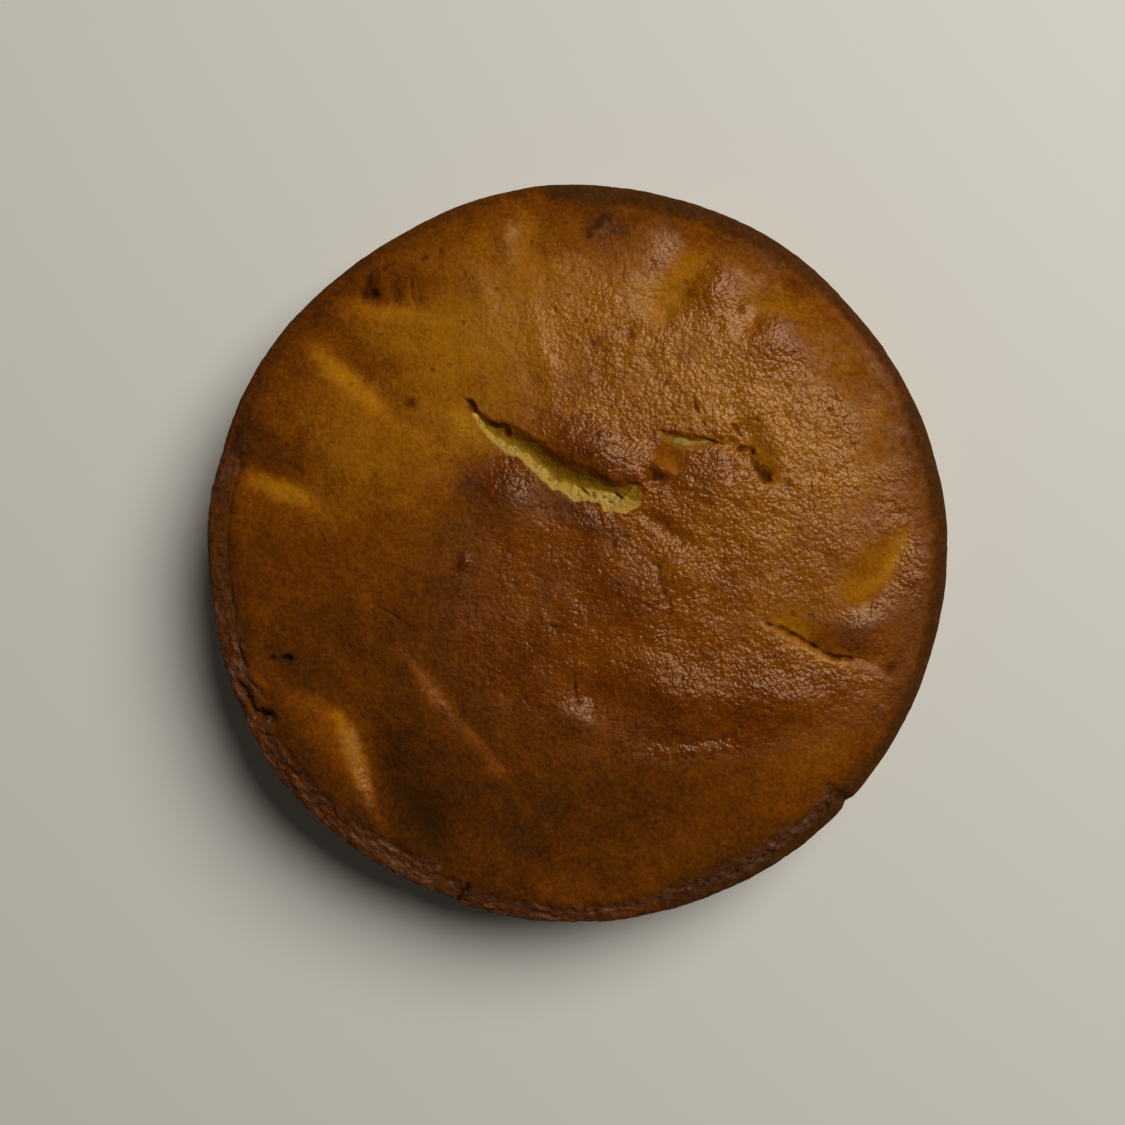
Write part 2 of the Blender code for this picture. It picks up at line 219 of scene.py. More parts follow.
def angle_gap(angle: np.ndarray, middle: float) -> np.ndarray:
    """Signed gap from a middle angle, from -180 to 180 degrees."""
    return (angle - middle + 180) % 360 - 180


@dataclass(frozen=True)
class Path:
    """A smooth route over the crust through a few given points."""

    points: Route
    steps: int = 4

    def curve(self) -> np.ndarray:
        """Points along the smooth route.

        Returns:
            One row for each point.
        """
        ends = [np.array(p, float) for p in self.points]
        padded = [2 * ends[0] - ends[1], *ends, 2 * ends[-1] - ends[-2]]
        curve = []
        for a, b, c, d in zip(padded, padded[1:], padded[2:], padded[3:]):
            for step in range(self.steps):
                t = step / self.steps
                bend = (2 * a - 5 * b + 4 * c - d) * t**2 + (3 * b - a - 3 * c + d) * t**3
                curve.append(0.5 * (2 * b + (c - a) * t + bend))
        curve.append(ends[-1])
        return np.array(curve)

    def beside(self, spots: np.ndarray) -> tuple[np.ndarray, np.ndarray]:
        """How spots lie to the route.

        Args:
            spots: places on the crust.

        Returns:
            Distances, above zero on the left, and shares of the route's length passed.
        """
        curve = self.curve()
        pieces = np.diff(curve, axis=0)
        lengths = np.hypot(pieces[:, 0], pieces[:, 1])
        passed = np.concatenate(([0.0], np.cumsum(lengths)))
        nearest = np.full(len(spots), np.inf)
        side = np.ones(len(spots))
        share = np.zeros(len(spots))
        for start, piece, length, before in zip(curve, pieces, lengths, passed):
            reach = spots - start
            t = np.clip(reach @ piece / length**2, 0.0, 1.0)
            off = reach - t[:, None] * piece
            distance = np.hypot(off[:, 0], off[:, 1])
            closer = distance < nearest
            turn = piece[0] * reach[:, 1] - piece[1] * reach[:, 0]
            nearest = np.where(closer, distance, nearest)
            side = np.where(closer, np.where(turn >= 0, 1.0, -1.0), side)
            share = np.where(closer, (before + t * length) / passed[-1], share)
        return nearest * side, share


@dataclass(frozen=True)
class Swell:
    """A rounded hump, or a hollow where rise is below zero; its tone browns it, or pales it below zero, and
    in a small pit or under an overhang a darker tone is painted shade.
    """

    name: str
    at: tuple[float, float]
    length: float
    width: float
    turn: float
    rise: float
    tone: float = 0.0

    def share(self, spots: np.ndarray) -> np.ndarray:
        """How strongly the swell works at each spot.

        Args:
            spots: places on the crust.

        Returns:
            Shares from 0 to 1.
        """
        turn = math.radians(self.turn)
        off = spots - np.array(self.at)
        along = off[:, 0] * math.cos(turn) + off[:, 1] * math.sin(turn)
        across = off[:, 1] * math.cos(turn) - off[:, 0] * math.sin(turn)
        return np.exp(-((along / self.length) ** 2) - (across / self.width) ** 2)


@dataclass(frozen=True)
class Fold:
    """A furrow along a route with a slope of its own on each side; a low power makes its bottom sharp."""

    name: str
    route: Route
    left: float
    right: float
    depth: float
    tone: float = 0.0
    seed: int = 1
    power: float = 2.0

    def share(self, spots: np.ndarray) -> np.ndarray:
        """How strongly the fold works at each spot.

        Args:
            spots: places on the crust.

        Returns:
            Shares from 0 to 1.
        """
        distance, share = Path(self.route).beside(spots)
        distance = distance + 0.35 * min(self.left, self.right) * Noise.layered(spots, 7.0, 200 + self.seed)
        slope = np.where(distance >= 0, self.left, self.right)
        ends = np.clip(4 * share + 0.3, 0.0, 1.0) * np.clip(4 * (1 - share) + 0.3, 0.0, 1.0)
        uneven = 1 + 0.45 * Noise.layered(spots, 11.0, 230 + self.seed)
        return ends * uneven * np.exp(-(np.abs(distance / slope) ** self.power))


@dataclass(frozen=True)
class Split:
    """A thin crack with ragged sides; bridged is the share of it that stays nearly shut; its tone darkens the
    crack as painted shade inside it.
    """

    name: str
    route: Route
    half_width: float
    depth: float
    bridged: float = 0.25
    seed: int = 1
    tone: float = 0.35

    def share(self, spots: np.ndarray) -> np.ndarray:
        """How open the crack is at each spot.

        Args:
            spots: places on the crust.

        Returns:
            Shares from 0 to 1.
        """
        distance, passed = Path(self.route).beside(spots)
        ragged = distance + 0.45 * Noise.smooth(spots, 2.2, self.seed) * self.half_width
        open_here = 0.75 + 0.6 * Noise.smooth(spots, 3.0, self.seed + 5) - self.bridged
        ends = np.clip(8 * passed, 0.15, 1.0) * np.clip(8 * (1 - passed), 0.15, 1.0)
        half = self.half_width * np.clip(open_here, 0.25, 1.0) * ends**0.5
        return np.clip(open_here, 0.25, 1.0) * np.exp(-((ragged / half) ** 2))


@dataclass(frozen=True)
class EdgeBite:
    """A place where the outline runs outside (above zero) or inside (below zero) the tin's circle."""

    name: str
    angle: float
    spread: float
    reach: float


@dataclass(frozen=True)
class RimStretch:
    """A stretch of rim: angles, form, width and browning of its dark band, and the browning inside it."""

    name: str
    start: float
    end: float
    form: RimForm
    band: float
    brown: float
    shade: float
    blend: ClassVar[float] = 2.5

    def share(self, angle: np.ndarray) -> np.ndarray:
        """How far this stretch rules at each angle.

        Args:
            angle: angles round the cake.

        Returns:
            Shares from 0 to 1.
        """
        middle = (self.start + self.end) / 2
        half = (self.end - self.start) / 2
        away = np.abs(angle_gap(angle, middle))
        return 1 - ease_between(away, half - self.blend / 2, half + self.blend / 2)


@dataclass(frozen=True)
class Opening:
    """A tear in the crust: a torn wall on its near side and a slope that rises to its far side."""

    near_edge: Route
    far_edge: Route
    depth: float
    lean: tuple[float, float]
    overhang: tuple[tuple[float, ...], tuple[float, ...]]
    wall_shares: tuple[float, ...]
    wall_drops: tuple[float, ...]
    wall_shifts: tuple[float, ...]
    full_width: float
    torn_to: tuple[float, float]
    # Shares across the tear past which the crumb is painted in its shade colour.
    shaded_from: tuple[float, float]
    heap: Swell | None = None
    pits: tuple[Swell, ...] = ()
    ragged: float = 1.0
    shallow_end: float = 0.75
    torn_share: float = 1.0

    def outline(self) -> np.ndarray:
        """The torn opening as a closed ring of points."""
        return np.vstack((Path(self.near_edge).curve(), Path(self.far_edge).curve()[::-1]))

    def within(self, spots: np.ndarray) -> np.ndarray:
        """Which spots lie in the opening.

        Args:
            spots: places on the crust.

        Returns:
            One truth value for each spot.
        """
        ring = self.outline()
        inside = np.zeros(len(spots), bool)
        x, y = spots[:, 0], spots[:, 1]
        for (x0, y0), (x1, y1) in zip(ring, np.roll(ring, -1, axis=0)):
            if y0 == y1:
                continue
            crosses = (y0 > y) != (y1 > y)
            inside ^= crosses & (x < x0 + (y - y0) * (x1 - x0) / (y1 - y0))
        return inside

    def shape(self, spots: np.ndarray) -> tuple[np.ndarray, ...]:
        """What the tear does to the crust.

        Args:
            spots: places on the crust.

        Returns:
            Drops in height, sideways shifts of two numbers, shares of torn crumb, shares of the crumb
            painted in its shade colour down in the tear, and shares of dark pits.
        """
        rough = self.ragged * (0.9 * Noise.layered(spots, 5.0, 41) + 0.5 * Noise.layered(spots, 1.8, 43))
        moved = spots + np.outer(rough, (0.45, 0.6))
        near, _ = Path(self.near_edge).beside(moved)
        far, passed = Path(self.far_edge).beside(moved)
        near, far = np.abs(near), np.abs(far)
        inside = self.within(moved)
        across = np.where(inside, near / np.maximum(near + far, 1e-6), np.where(near < far, 0.0, 1.0))
        width = np.clip((near + far) / self.full_width, 0.0, 1.0)
        heaped = self.heap.share(spots) if self.heap else np.zeros(len(spots))
        drop = self.depth * np.interp(across, self.wall_shares, self.wall_drops) * width**0.8 * inside
        if self.heap:
            drop = drop * (1 - self.heap.rise * heaped)
        hung = np.interp(passed, *self.overhang)
        pull = hung * np.interp(across, self.wall_shares, self.wall_shifts) * inside
        pitted = np.zeros(len(spots))
        for pit in self.pits:
            share = np.exp(-(np.log(np.maximum(pit.share(moved), 1e-9)) ** 2))
            drop = drop - pit.rise * share
            pitted = np.maximum(pitted, share)
        uneven = across + 0.16 * Noise.layered(spots, 4.0, 45)
        crumb = inside * ease_between(across, 0.0, 0.03) * (1 - ease_between(uneven, *self.torn_to))
        crumb = crumb * ease_between(near + far, 0.5, 3.0)
        drop = drop * (1 - self.shallow_end * ease_between(passed, 0.86, 1.0))
        # Crumb deeper in the tear, under the far side, takes the painted shade colour.
        in_shade = ease_between(uneven - 0.34 * heaped, *self.shaded_from)
        return drop, np.outer(pull, self.lean), self.torn_share * crumb * (1 - pitted), in_shade, pitted


class Relief:
    """Height, browning and wrinkling of the crust over any spot inside the rim."""

    rim_height: float = 43.0
    crown_height: float = 50.5
    crown_at: tuple[float, float] = (14.0, 8.0)
    dome_power: float = 2.4
    shoulder: float = 9.0
    shoulder_drop: float = 4.5

    swells: tuple[Swell, ...] = (
        Swell("hump_over_the_burst", (7, 32.5), 17, 9, -25, 3),
        Swell("hump_below_the_burst", (-28.5, 19.5), 14, 9, -35, 3.2),
        Swell("hump_at_the_burst_end", (4, 10), 12, 6, -25, 1),
        Swell("plate_east_of_the_burst", (49, 24), 15, 12, -8, 1.6),
        Swell("hollow_beside_the_finger", (31.8, 32.2), 3.8, 4.8, 0, -2.2, -0.05),
        Swell("finger_of_crust", (28.4, 28.8), 3.4, 1.9, -24, 3, 0.08),
        # The dark tone under the finger is painted shade under the overhanging crust.
        Swell("hollow_under_the_finger", (27.8, 25), 4.4, 1.6, 8, -1.6, 0.16),
        Swell("hollow_west_of_the_hump", (-34, 24), 8, 13, 30, -1.8),
        Swell("swell_south_of_crown", (17, -12), 15, 8, -40, 1.3, 0.05),
        Swell("swell_by_the_thin_crack", (34, -4), 7, 7, 0, 1),
        Swell("sheen_swell", (31, -47), 13, 9, -35, 2, 0.08),
        Swell("sheen_swell_in_the_south_east", (68, -51), 30, 9, -3, 2.2, 0.06),
        Swell("dell_in_the_south", (6.5, -50), 7, 6, 0, -2.2),
        Swell("lump_below_the_dell", (-0.5, -58), 6, 4, -20, 1),
        Swell("shoulder_in_the_south_west", (-92, -70), 25, 14, -52, 3.6),
        Swell("hollow_in_the_west", (-86, -36), 22, 15, -20, -2.2),
        Swell("hollow_in_the_south", (-12, -74), 22, 13, -20, -1.4),
        Swell("dimple_at_the_south_rim", (-53, -94), 10, 6, -50, -1.3),
        Swell("hump_by_the_east_crack", (97, -27), 12, 8, 5, 1.6, 0.16),
        Swell("hollow_by_the_east_crack", (79, -22), 8, 8, -30, -1.4, -0.02),
        # The dimple's dark tone is painted shade in the pit.
        Swell("dimple_in_the_east", (108.5, -40.5), 3, 2, 0, -1.2, 0.25),
        Swell("hump_in_the_north_east", (67, 73), 11, 9, 0, 1.5, 0.04),
        Swell("lump_in_the_north_east", (48, 91), 9, 8, 0, 1.4),
        Swell("dent_in_the_north_east", (58, 88), 7, 5, 0, -0.8),
        Swell("sunk_fruit_in_the_north", (10, 113), 8, 5.4, 0, -1.8, 0.12),
        Swell("dell_in_the_north", (-15, 107), 6, 10, 0, -1.6),
        Swell("sunk_crust_in_the_north_west", (-65, 92), 15, 6, 8, -1.4),
        Swell("blister_in_the_pit", (-68.6, 94), 3, 4.6, -8, 1.6, 0.04),
        Swell("blister_beside_it", (-59.4, 89.8), 2.2, 4.6, 0, 1.2),
        Swell("blister_at_the_end", (-53.4, 90.2), 2.6, 3.6, 0, 0.9),
        Swell("slope_of_the_north_west", (-72, 30), 30, 22, 20, 1),
        Swell("bead", (-39.1, -3.7), 1.7, 2.9, -12, 1.3, 0.1),
        Swell("bump_in_the_north", (-25, 110), 3.6, 5.4, 10, 1.2, 0.02),
        Swell("ripple_in_the_north", (-34, 92), 4, 13, 20, 0.9),
        Swell("ripple_beside_it", (-12, 68), 4, 13, 10, 0.7),
        Swell("bump_in_the_north_west", (-96.5, 64.2), 2.6, 4.2, -50, 0.8, 0.15),
        Swell("bump_in_the_south_west", (-90.3, -55.9), 3.2, 2.4, 0, 0.8),
        # The dark tones of the pits, dashes and dips below are painted shade in them.
        Swell("pit_by_the_furrow", (-58.1, 51.4), 1.5, 1.5, 0, -1.2, 0.4),
        Swell("pit_in_the_north", (18.2, 75.4), 1.1, 2.2, 0, -0.8, 0.25),
        Swell("dash_in_the_north", (6, 72.2), 2.4, 1, 0, -0.7, 0.25),
        Swell("pit_in_the_north_east", (57.2, 84.2), 1, 0.9, 0, -1.2, 0.5),
        Swell("pit_in_the_east", (72.2, 23.5), 1.1, 1.4, 0, -0.8, 0.3),
        Swell("dark_pit_in_the_north_west", (-71.6, 90.6), 2.1, 1.5, -4, -1.1, 0.32),
        Swell("dark_pit_beside_it", (-74.6, 90.4), 1.1, 1.9, 10, -0.8, 0.34),
        Swell("pit_between_blisters", (-63.8, 90.8), 1.3, 3.8, 0, -1.2, 0.24),
        Swell("dot_in_the_north_west", (-47.8, 104.8), 0.9, 0.9, 0, -0.7, 0.4),
        Swell("dip_by_the_holes", (-103.5, -37), 5, 2.2, 0, -0.6, 0.10),
    )

    folds: tuple[Fold, ...] = (
        Fold(
            "north_west_furrow", ((-94, 76), (-85, 68.5), (-77.5, 62), (-69.5, 54.5), (-60, 45)), 14, 4.8,
            2.6, 0.03, 1, 1.3,
        ),
        Fold(
            "west_furrow", ((-122, 30), (-111, 28.5), (-102.5, 25.5), (-94.5, 20.5), (-84, 15)), 14, 5, 2.4,
            0, 2, 1.3,
        ),
        Fold(
            "pit_wall", ((-79, 90.5), (-73, 87.6), (-66, 86), (-58, 85.6), (-48, 87.6)), 7, 2.9, 1.9, 0, 3,
            1.5,
        ),
        Fold("north_east_furrow", ((50, 111), (40, 99), (33, 89), (24, 79)), 5, 8, 2.4, -0.10, 4),
        Fold("north_east_valley", ((78, 88), (69, 87), (62, 83), (58, 76)), 4, 6, 1.5, -0.08, 5),
        Fold("east_furrow", ((118, 8), (108, -3), (99, -11), (92, -18)), 6, 7, 1, -0.08, 6),
        Fold(
            "pale_east_line", ((98.5, -13.8), (103.5, -11), (108, -7.2), (110.6, -2.4), (113.2, 3.4),
            (116, 10)), 2.6, 1.8, 0.45, -0.15, 16,
        ),
        Fold(
            "south_west_furrow",
            ((-100, -46.5), (-90, -50.5), (-83, -55.5), (-78.5, -61), (-74.6, -69), (-72.6, -77),
            (-69.6, -89)), 15, 3.4, 3.2, 0, 7, 1.25,
        ),
        Fold(
            "long_furrow", ((-61, -31), (-50, -45), (-41, -57), (-30, -70), (-17, -86)), 9, 2.4, 1.3, 0.02,
            8, 1.5,
        ),
        Fold("south_crease", ((20, -65), (32, -66), (44, -65), (58, -61)), 4, 2.4, 0.9, 0, 9),
        Fold("crown_groove", ((22, 14), (30, 8), (39.5, 2)), 2, 2.4, 1.1, 0.05, 10),
        Fold("east_groove", ((54, 46.5), (58.5, 40), (62, 33), (65.5, 27), (68, 22)), 4.2, 1.5, 1.8, 0, 11),
        Fold("wedge_crack", ((43, 39.4), (48, 37.6), (55.5, 36.2)), 2.4, 2.2, 1, -0.06, 12),
        Fold(
            "east_crack_slope", ((65, -24.5), (75, -28), (86, -35), (98, -37), (106, -40.5)), 4, 1.8, 1.5,
            -0.12, 13,
        ),
    )

    # Each split's tone darkens the crust's colour in the crack: painted shade inside the cracks, holes and
    # notches.
    splits: tuple[Split, ...] = (
        Split(
            "east_crack", ((65.5, -24.5), (73.5, -28), (82, -32.5), (88, -36), (98, -37)), 0.75, 2.2, 0.1, 3,
        ),
        Split("groove_start", ((53.5, 44.2), (55, 42.4), (56.8, 40.4)), 0.8, 1.1, -0.5, 4, 0.42),
        Split("groove_hook", ((54.6, 35.2), (57, 35.9), (59.6, 35.8), (61, 34.2)), 0.7, 1.1, -0.5, 5, 0.40),
        Split(
            "groove_bend", ((60.4, 35), (61, 31.5), (62.3, 28.8), (64.2, 26.2), (66.4, 24.4)), 1.3, 1, -0.6,
            6, 0.28,
        ),
        Split("groove_end", ((62, 29.8), (63.8, 27.2), (66.2, 24.8)), 2.2, 0.8, -0.6, 22, 0.26),
        Split("wedge_tail", ((43.8, 39), (47.9, 37.6), (50, 37.2)), 0.6, 1, 0.1, 19, 0.30),
        Split("crown_crack", ((39.4, 54.6), (40, 52.5), (40.5, 49.7), (41.7, 47.7)), 0.5, 1.2, 0, 7),
        Split("plate_crack", ((51.5, 24.6), (54.5, 25.6), (58, 25.2)), 0.35, 0.7, 0.2, 8),
        Split(
            "thin_crack", ((27.4, -2.5), (28.2, -11), (31.6, -18), (31, -22.5), (28.8, -27.6)), 0.5, 1.2,
            0.15, 9,
        ),
        Split("hook_crack", ((17.5, 5.6), (13.6, 4.8), (11.4, 1)), 0.5, 1, 0.1, 10),
        Split("south_crack", ((42, -65.6), (48, -64.8), (54.5, -63)), 0.4, 0.9, 0.2, 11),
        Split("west_arc", ((-72.4, -16.6), (-63.6, -21.8), (-54.8, -27.7)), 0.4, 0.8, 0.3, 12),
        Split("north_west_slash", ((-67.9, 98.6), (-66.1, 100), (-63.9, 101.3)), 0.5, 0.8, -0.3, 13),
        Split("north_west_line", ((-73.6, 92.6), (-73, 95.4), (-71.8, 98)), 0.7, 1, -0.2, 14),
        Split("blister_line", ((-58.2, 95.6), (-57.8, 91.2), (-57.4, 87.6)), 0.55, 0.5, 0, 23, 0.25),
        Split("north_west_dashes", ((-55.2, 102.3), (-53.8, 102.6), (-52, 102.9)), 0.5, 0.7, -0.3, 15),
        Split(
            "north_crack", ((-34.4, 116.2), (-31, 115.2), (-27.5, 116.4), (-20.3, 119.6)), 0.4, 0.8, 0.3, 16,
        ),
        Split(
            "sunk_fruit_edge", ((2.6, 108.4), (4.4, 112.6), (7.4, 115.6), (12, 117.4)), 1.7, 0.8, 0, 27,
            0.20,
        ),
        Split("east_faint_crack", ((67.4, 80.8), (73, 80.4), (79.2, 78.9)), 0.35, 0.5, 0.3, 17),
        Split("dell_wall", ((-1, -44.5), (-1, -48.5), (0.6, -53)), 0.6, 1, 0, 18),
        Split("west_hole", ((-103.4, -36.9), (-101.8, -37.3), (-100.2, -37.1)), 0.95, 2.4, -0.6, 24, 0.7),
        Split("small_west_hole", ((-107.8, -36.8), (-107, -36.8), (-106, -36.7)), 0.6, 1.6, -0.6, 25, 0.6),
        Split(
            "west_notch", ((-118.4, -45.8), (-116, -48.9), (-114, -53.4), (-111.6, -56.6), (-107, -57.4)),
            1.2, 3, -0.2, 20,
        ),
        Split(
            "west_notch_foot", ((-112, -56), (-109.2, -56), (-106.2, -57.4), (-107.4, -58.8)), 1.5, 1.6,
            -0.6, 26, 0.3,
        ),
        Split("south_notch", ((-43, -123), (-40.5, -119.5), (-38, -116)), 0.9, 2.4, 0, 21),
    )

    burst: Opening = Opening(
        near_edge=(
            (-39.6, 52.6), (-38.2, 49.6), (-35.6, 46.4), (-33.4, 42.6), (-30.5, 39.2), (-27.5, 36.2),
            (-24.5, 33.7),
            (-20.5, 32.8), (-17.8, 30), (-14.5, 26.6), (-11.5, 24), (-9, 21.2), (-6, 21), (-3.6, 19.2),
            (-1, 17), (3.2, 18), (5.4, 17.4), (7.6, 16.6), (8.8, 13.8), (12, 13.8), (16.2, 13.2),
            (18.8, 14.6),
            (20.8, 15.6), (22.2, 17),
        ),
        far_edge=(
            (-39, 53.2), (-35.6, 52.2), (-33.6, 49.2), (-30, 46.4), (-25, 45.2), (-20, 43), (-15, 39.8),
            (-10, 36.4), (-5, 33.2), (0, 31.2), (5, 29.8), (9, 28.2), (13, 26.2), (17, 26.6),
            (19.6, 27), (21.8, 25.6), (23, 22.6), (23.2, 19.6), (22.6, 17.6),
        ),
        depth=3.2,
        lean=(-0.55, -0.83),
        overhang=((0, 0.12, 0.22, 0.56, 0.70, 0.86, 0.94, 1), (0, 0.5, 0.2, 0, 1, 1.5, 0.3, 0)),
        wall_shares=(0, 0.04, 0.18, 0.32, 0.42, 0.54, 0.70, 0.84, 0.94, 1),
        wall_drops=(0, 0.20, 0.62, 0.94, 1, 0.92, 0.68, 0.38, 0.15, 0),
        wall_shifts=(0, 0, 0, 0, 0, 0.15, 0.45, 0.85, 1, 0.6),
        full_width=8,
        torn_to=(0.52, 0.84),
        shaded_from=(0.20, 0.36),
        heap=Swell("crumb_heap", (12.5, 17), 8.5, 4.2, -4, 0.5),
        pits=(
            Swell("hole_at_the_tip", (-36.8, 50), 2.8, 1.9, -48, -0.7),
            Swell("slot_under_the_flap", (-28.3, 44), 3.3, 1, -10, -0.8),
            Swell("pocket_under_the_flap", (-24.3, 41.4), 1.3, 2, 15, -0.8),
            Swell("slit_in_the_crumb", (14.6, 19.4), 1.9, 0.5, -35, -1.4),
            Swell("slit_beside_it", (2.4, 21), 2.2, 0.4, -38, -0.8),
        ),
    )
    window: Opening = Opening(
        near_edge=(
            (27.6, 41.2), (28.8, 38.6), (31.6, 36.8), (35.4, 35.2), (40.5, 35), (45, 36.4), (49.4, 37),
        ),
        far_edge=((27.9, 42.4), (33.5, 41.6), (38, 41), (43.5, 39.8), (49.4, 37.6)),
        depth=1.2,
        lean=(-0.2, -0.98),
        overhang=((0, 1), (0, 0)),
        wall_shares=(0, 0.20, 0.45, 0.66, 0.82, 0.94, 1),
        wall_drops=(0, 0.45, 0.95, 1, 0.55, 0.18, 0),
        wall_shifts=(0, 0, 0, 0, 0, 0, 0),
        full_width=4.5,
        torn_to=(0.72, 0.86),
        # The whole window's crumb takes the painted shade colour.
        shaded_from=(-0.6, -0.2),
        ragged=0.9,
        torn_share=0.5,
    )

    bites: tuple[EdgeBite, ...] = (
        EdgeBite("flat_in_the_north_west", 121, 19, -2.4),
        EdgeBite("corner_in_the_north", 93, 5, 0.9),
        EdgeBite("flat_in_the_north_east", 42, 9, -1.2),
        EdgeBite("swelling_in_the_west", 174, 7, 1.2),
        EdgeBite("swelling_in_the_south_west", 216, 22, 2.4),
        EdgeBite("torn_place_in_the_west", 205, 2.2, -2.2),
        EdgeBite("torn_place_in_the_south", 248, 3, -2.4),
        EdgeBite("notch_in_the_south_east", 317.2, 0.9, -3.4),
    )
    large_bite: float = 6.0
    large_bite_fade: float = 0.5
    torn_depth: float = 0.6

    rims: tuple[RimStretch, ...] = (
        RimStretch("east", -42, -12, RimForm.ROLLED, 6.6, 0.95, 0.16),
        RimStretch("east_middle", -12, 24, RimForm.ROLLED, 7.4, 0.97, 0.22),
        RimStretch("north_east", 24, 48, RimForm.ROLLED, 6, 0.95, 0.18),
        RimStretch("north_east_end", 48, 66, RimForm.ROLLED, 7.4, 0.97, 0.30),
        RimStretch("north", 66, 95, RimForm.ROLLED, 8.6, 0.98, 0.28),
        RimStretch("north_west", 95, 164, RimForm.ROLLED, 4.2, 0.84, 0.22),
        RimStretch("west", 164, 204, RimForm.LEDGE, 9.6, 0.88, 0.14),
        RimStretch("south_west", 206, 247, RimForm.LEDGE, 11, 0.82, 0.08),
        RimStretch("south", 248, 284, RimForm.CRUMBLED, 7.4, 0.82, 0.05),
        RimStretch("south_east", 284, 317.4, RimForm.CRUMBLED, 9.6, 0.96, 0.14),
    )
    shade_reach: float = 8.5
    outline_waves: tuple[Triple, ...] = ((0.35, 3, 20), (0.25, 7, 75))  # height, waves round the cake, start

    def outline(self, angle: np.ndarray, down: np.ndarray) -> np.ndarray:
        """Radius of the cake.

        Args:
            angle: angles round the cake.
            down: 0 at the rim's crest, 1 where the wall is plain.

        Returns:
            One radius for each angle.
        """
        radius = TIN_RADIUS
        for height, waves, start in self.outline_waves:
            radius = radius + height * np.sin(np.radians(waves * angle + start))
        for bite in self.bites:
            kept = 1 - down * (self.large_bite_fade if bite.spread > self.large_bite else 1.0)
            radius = radius + bite.reach * np.exp(-((angle_gap(angle, bite.angle) / bite.spread) ** 2)) * kept
        return radius

    def dome(self, spots: np.ndarray) -> np.ndarray:
        """Height of the plain dome.

        Args:
            spots: places on the crust.

        Returns:
            One height for each spot.
        """
        reach = np.hypot(spots[:, 0] - self.crown_at[0], spots[:, 1] - self.crown_at[1])
        edge = np.hypot(spots[:, 0], spots[:, 1])
        share = np.clip(0.5 * (reach + edge) / (TIN_RADIUS - self.shoulder), 0.0, 1.0)
        return self.rim_height + (self.crown_height - self.rim_height) * (1 - share**self.dome_power)

    def form_share(self, angle: np.ndarray, form: RimForm) -> np.ndarray:
        """How far a rim form rules at each angle.

        Args:
            angle: angles round the cake.
            form: the form asked for.

        Returns:
            Shares from 0 to 1.
        """
        total = np.zeros(len(angle))
        for rim in self.rims:
            if rim.form is form:
                total = np.maximum(total, rim.share(angle))
        return total

    def band(self, angle: np.ndarray) -> tuple[np.ndarray, np.ndarray, np.ndarray]:
        """Width and browning of the rim's dark band, and the browning just inside it.

        Args:
            angle: angles round the cake.

        Returns:
            Widths, brownings and inner brownings.
        """
        totals = np.zeros((3, len(angle)))
        weight = np.full(len(angle), 1e-6)
        for rim in self.rims:
            share = rim.share(angle)
            totals += share * np.array((rim.band, rim.brown, rim.shade))[:, None]
            weight += share
        return tuple(totals / weight)

    def crust(self, spots: np.ndarray) -> tuple[np.ndarray, np.ndarray]:
        """Height and browning that the dome, swells, folds and splits give; the browning holds the painted
        shade of the cracks and pits.

        Args:
            spots: places on the crust.

        Returns:
            Heights and brownings.
        """
        height = self.dome(spots)
        tone = np.zeros(len(spots))
        bent = spots + 1.3 * np.column_stack([Noise.layered(spots, 10.0, seed) for seed in (51, 53)])
        for swell in self.swells:
            share = swell.share(bent if swell.length > 4 else spots)
            height += swell.rise * share
            tone += swell.tone * share
        for fold in self.folds:
            share = fold.share(spots)
            height -= fold.depth * share
            tone += fold.tone * share
        for split in self.splits:
            share = split.share(spots)
            height -= split.depth * share
            tone += split.tone * share
        return height, tone


@dataclass(frozen=True)
class Patch:
    """A broad patch of browning or wrinkling; a crisp one has a flat middle and a clear edge."""

    name: str
    at: tuple[float, float]
    length: float
    width: float
    turn: float
    amount: float
    crisp: bool = False

    def over(self, spots: np.ndarray) -> np.ndarray:
        """The patch's amount at each spot.

        Args:
            spots: places on the crust.

        Returns:
            One amount for each spot.
        """
        share = Swell("", self.at, self.length, self.width, self.turn, 1.0).share(spots)
        if self.crisp:
            share = np.exp(-(np.log(np.maximum(share, 1e-9)) ** 2))
        return share * self.amount


def with_patches(total: np.ndarray, patches: tuple[Patch, ...], spots: np.ndarray) -> np.ndarray:
    """Adds patches to amounts that are there already.

    Args:
        total: the amount at each spot.
        patches: the patches to add.
        spots: places on the crust.

    Returns:
        The new amounts.
    """
    for patch in patches:
        total += patch.over(spots)
    return total


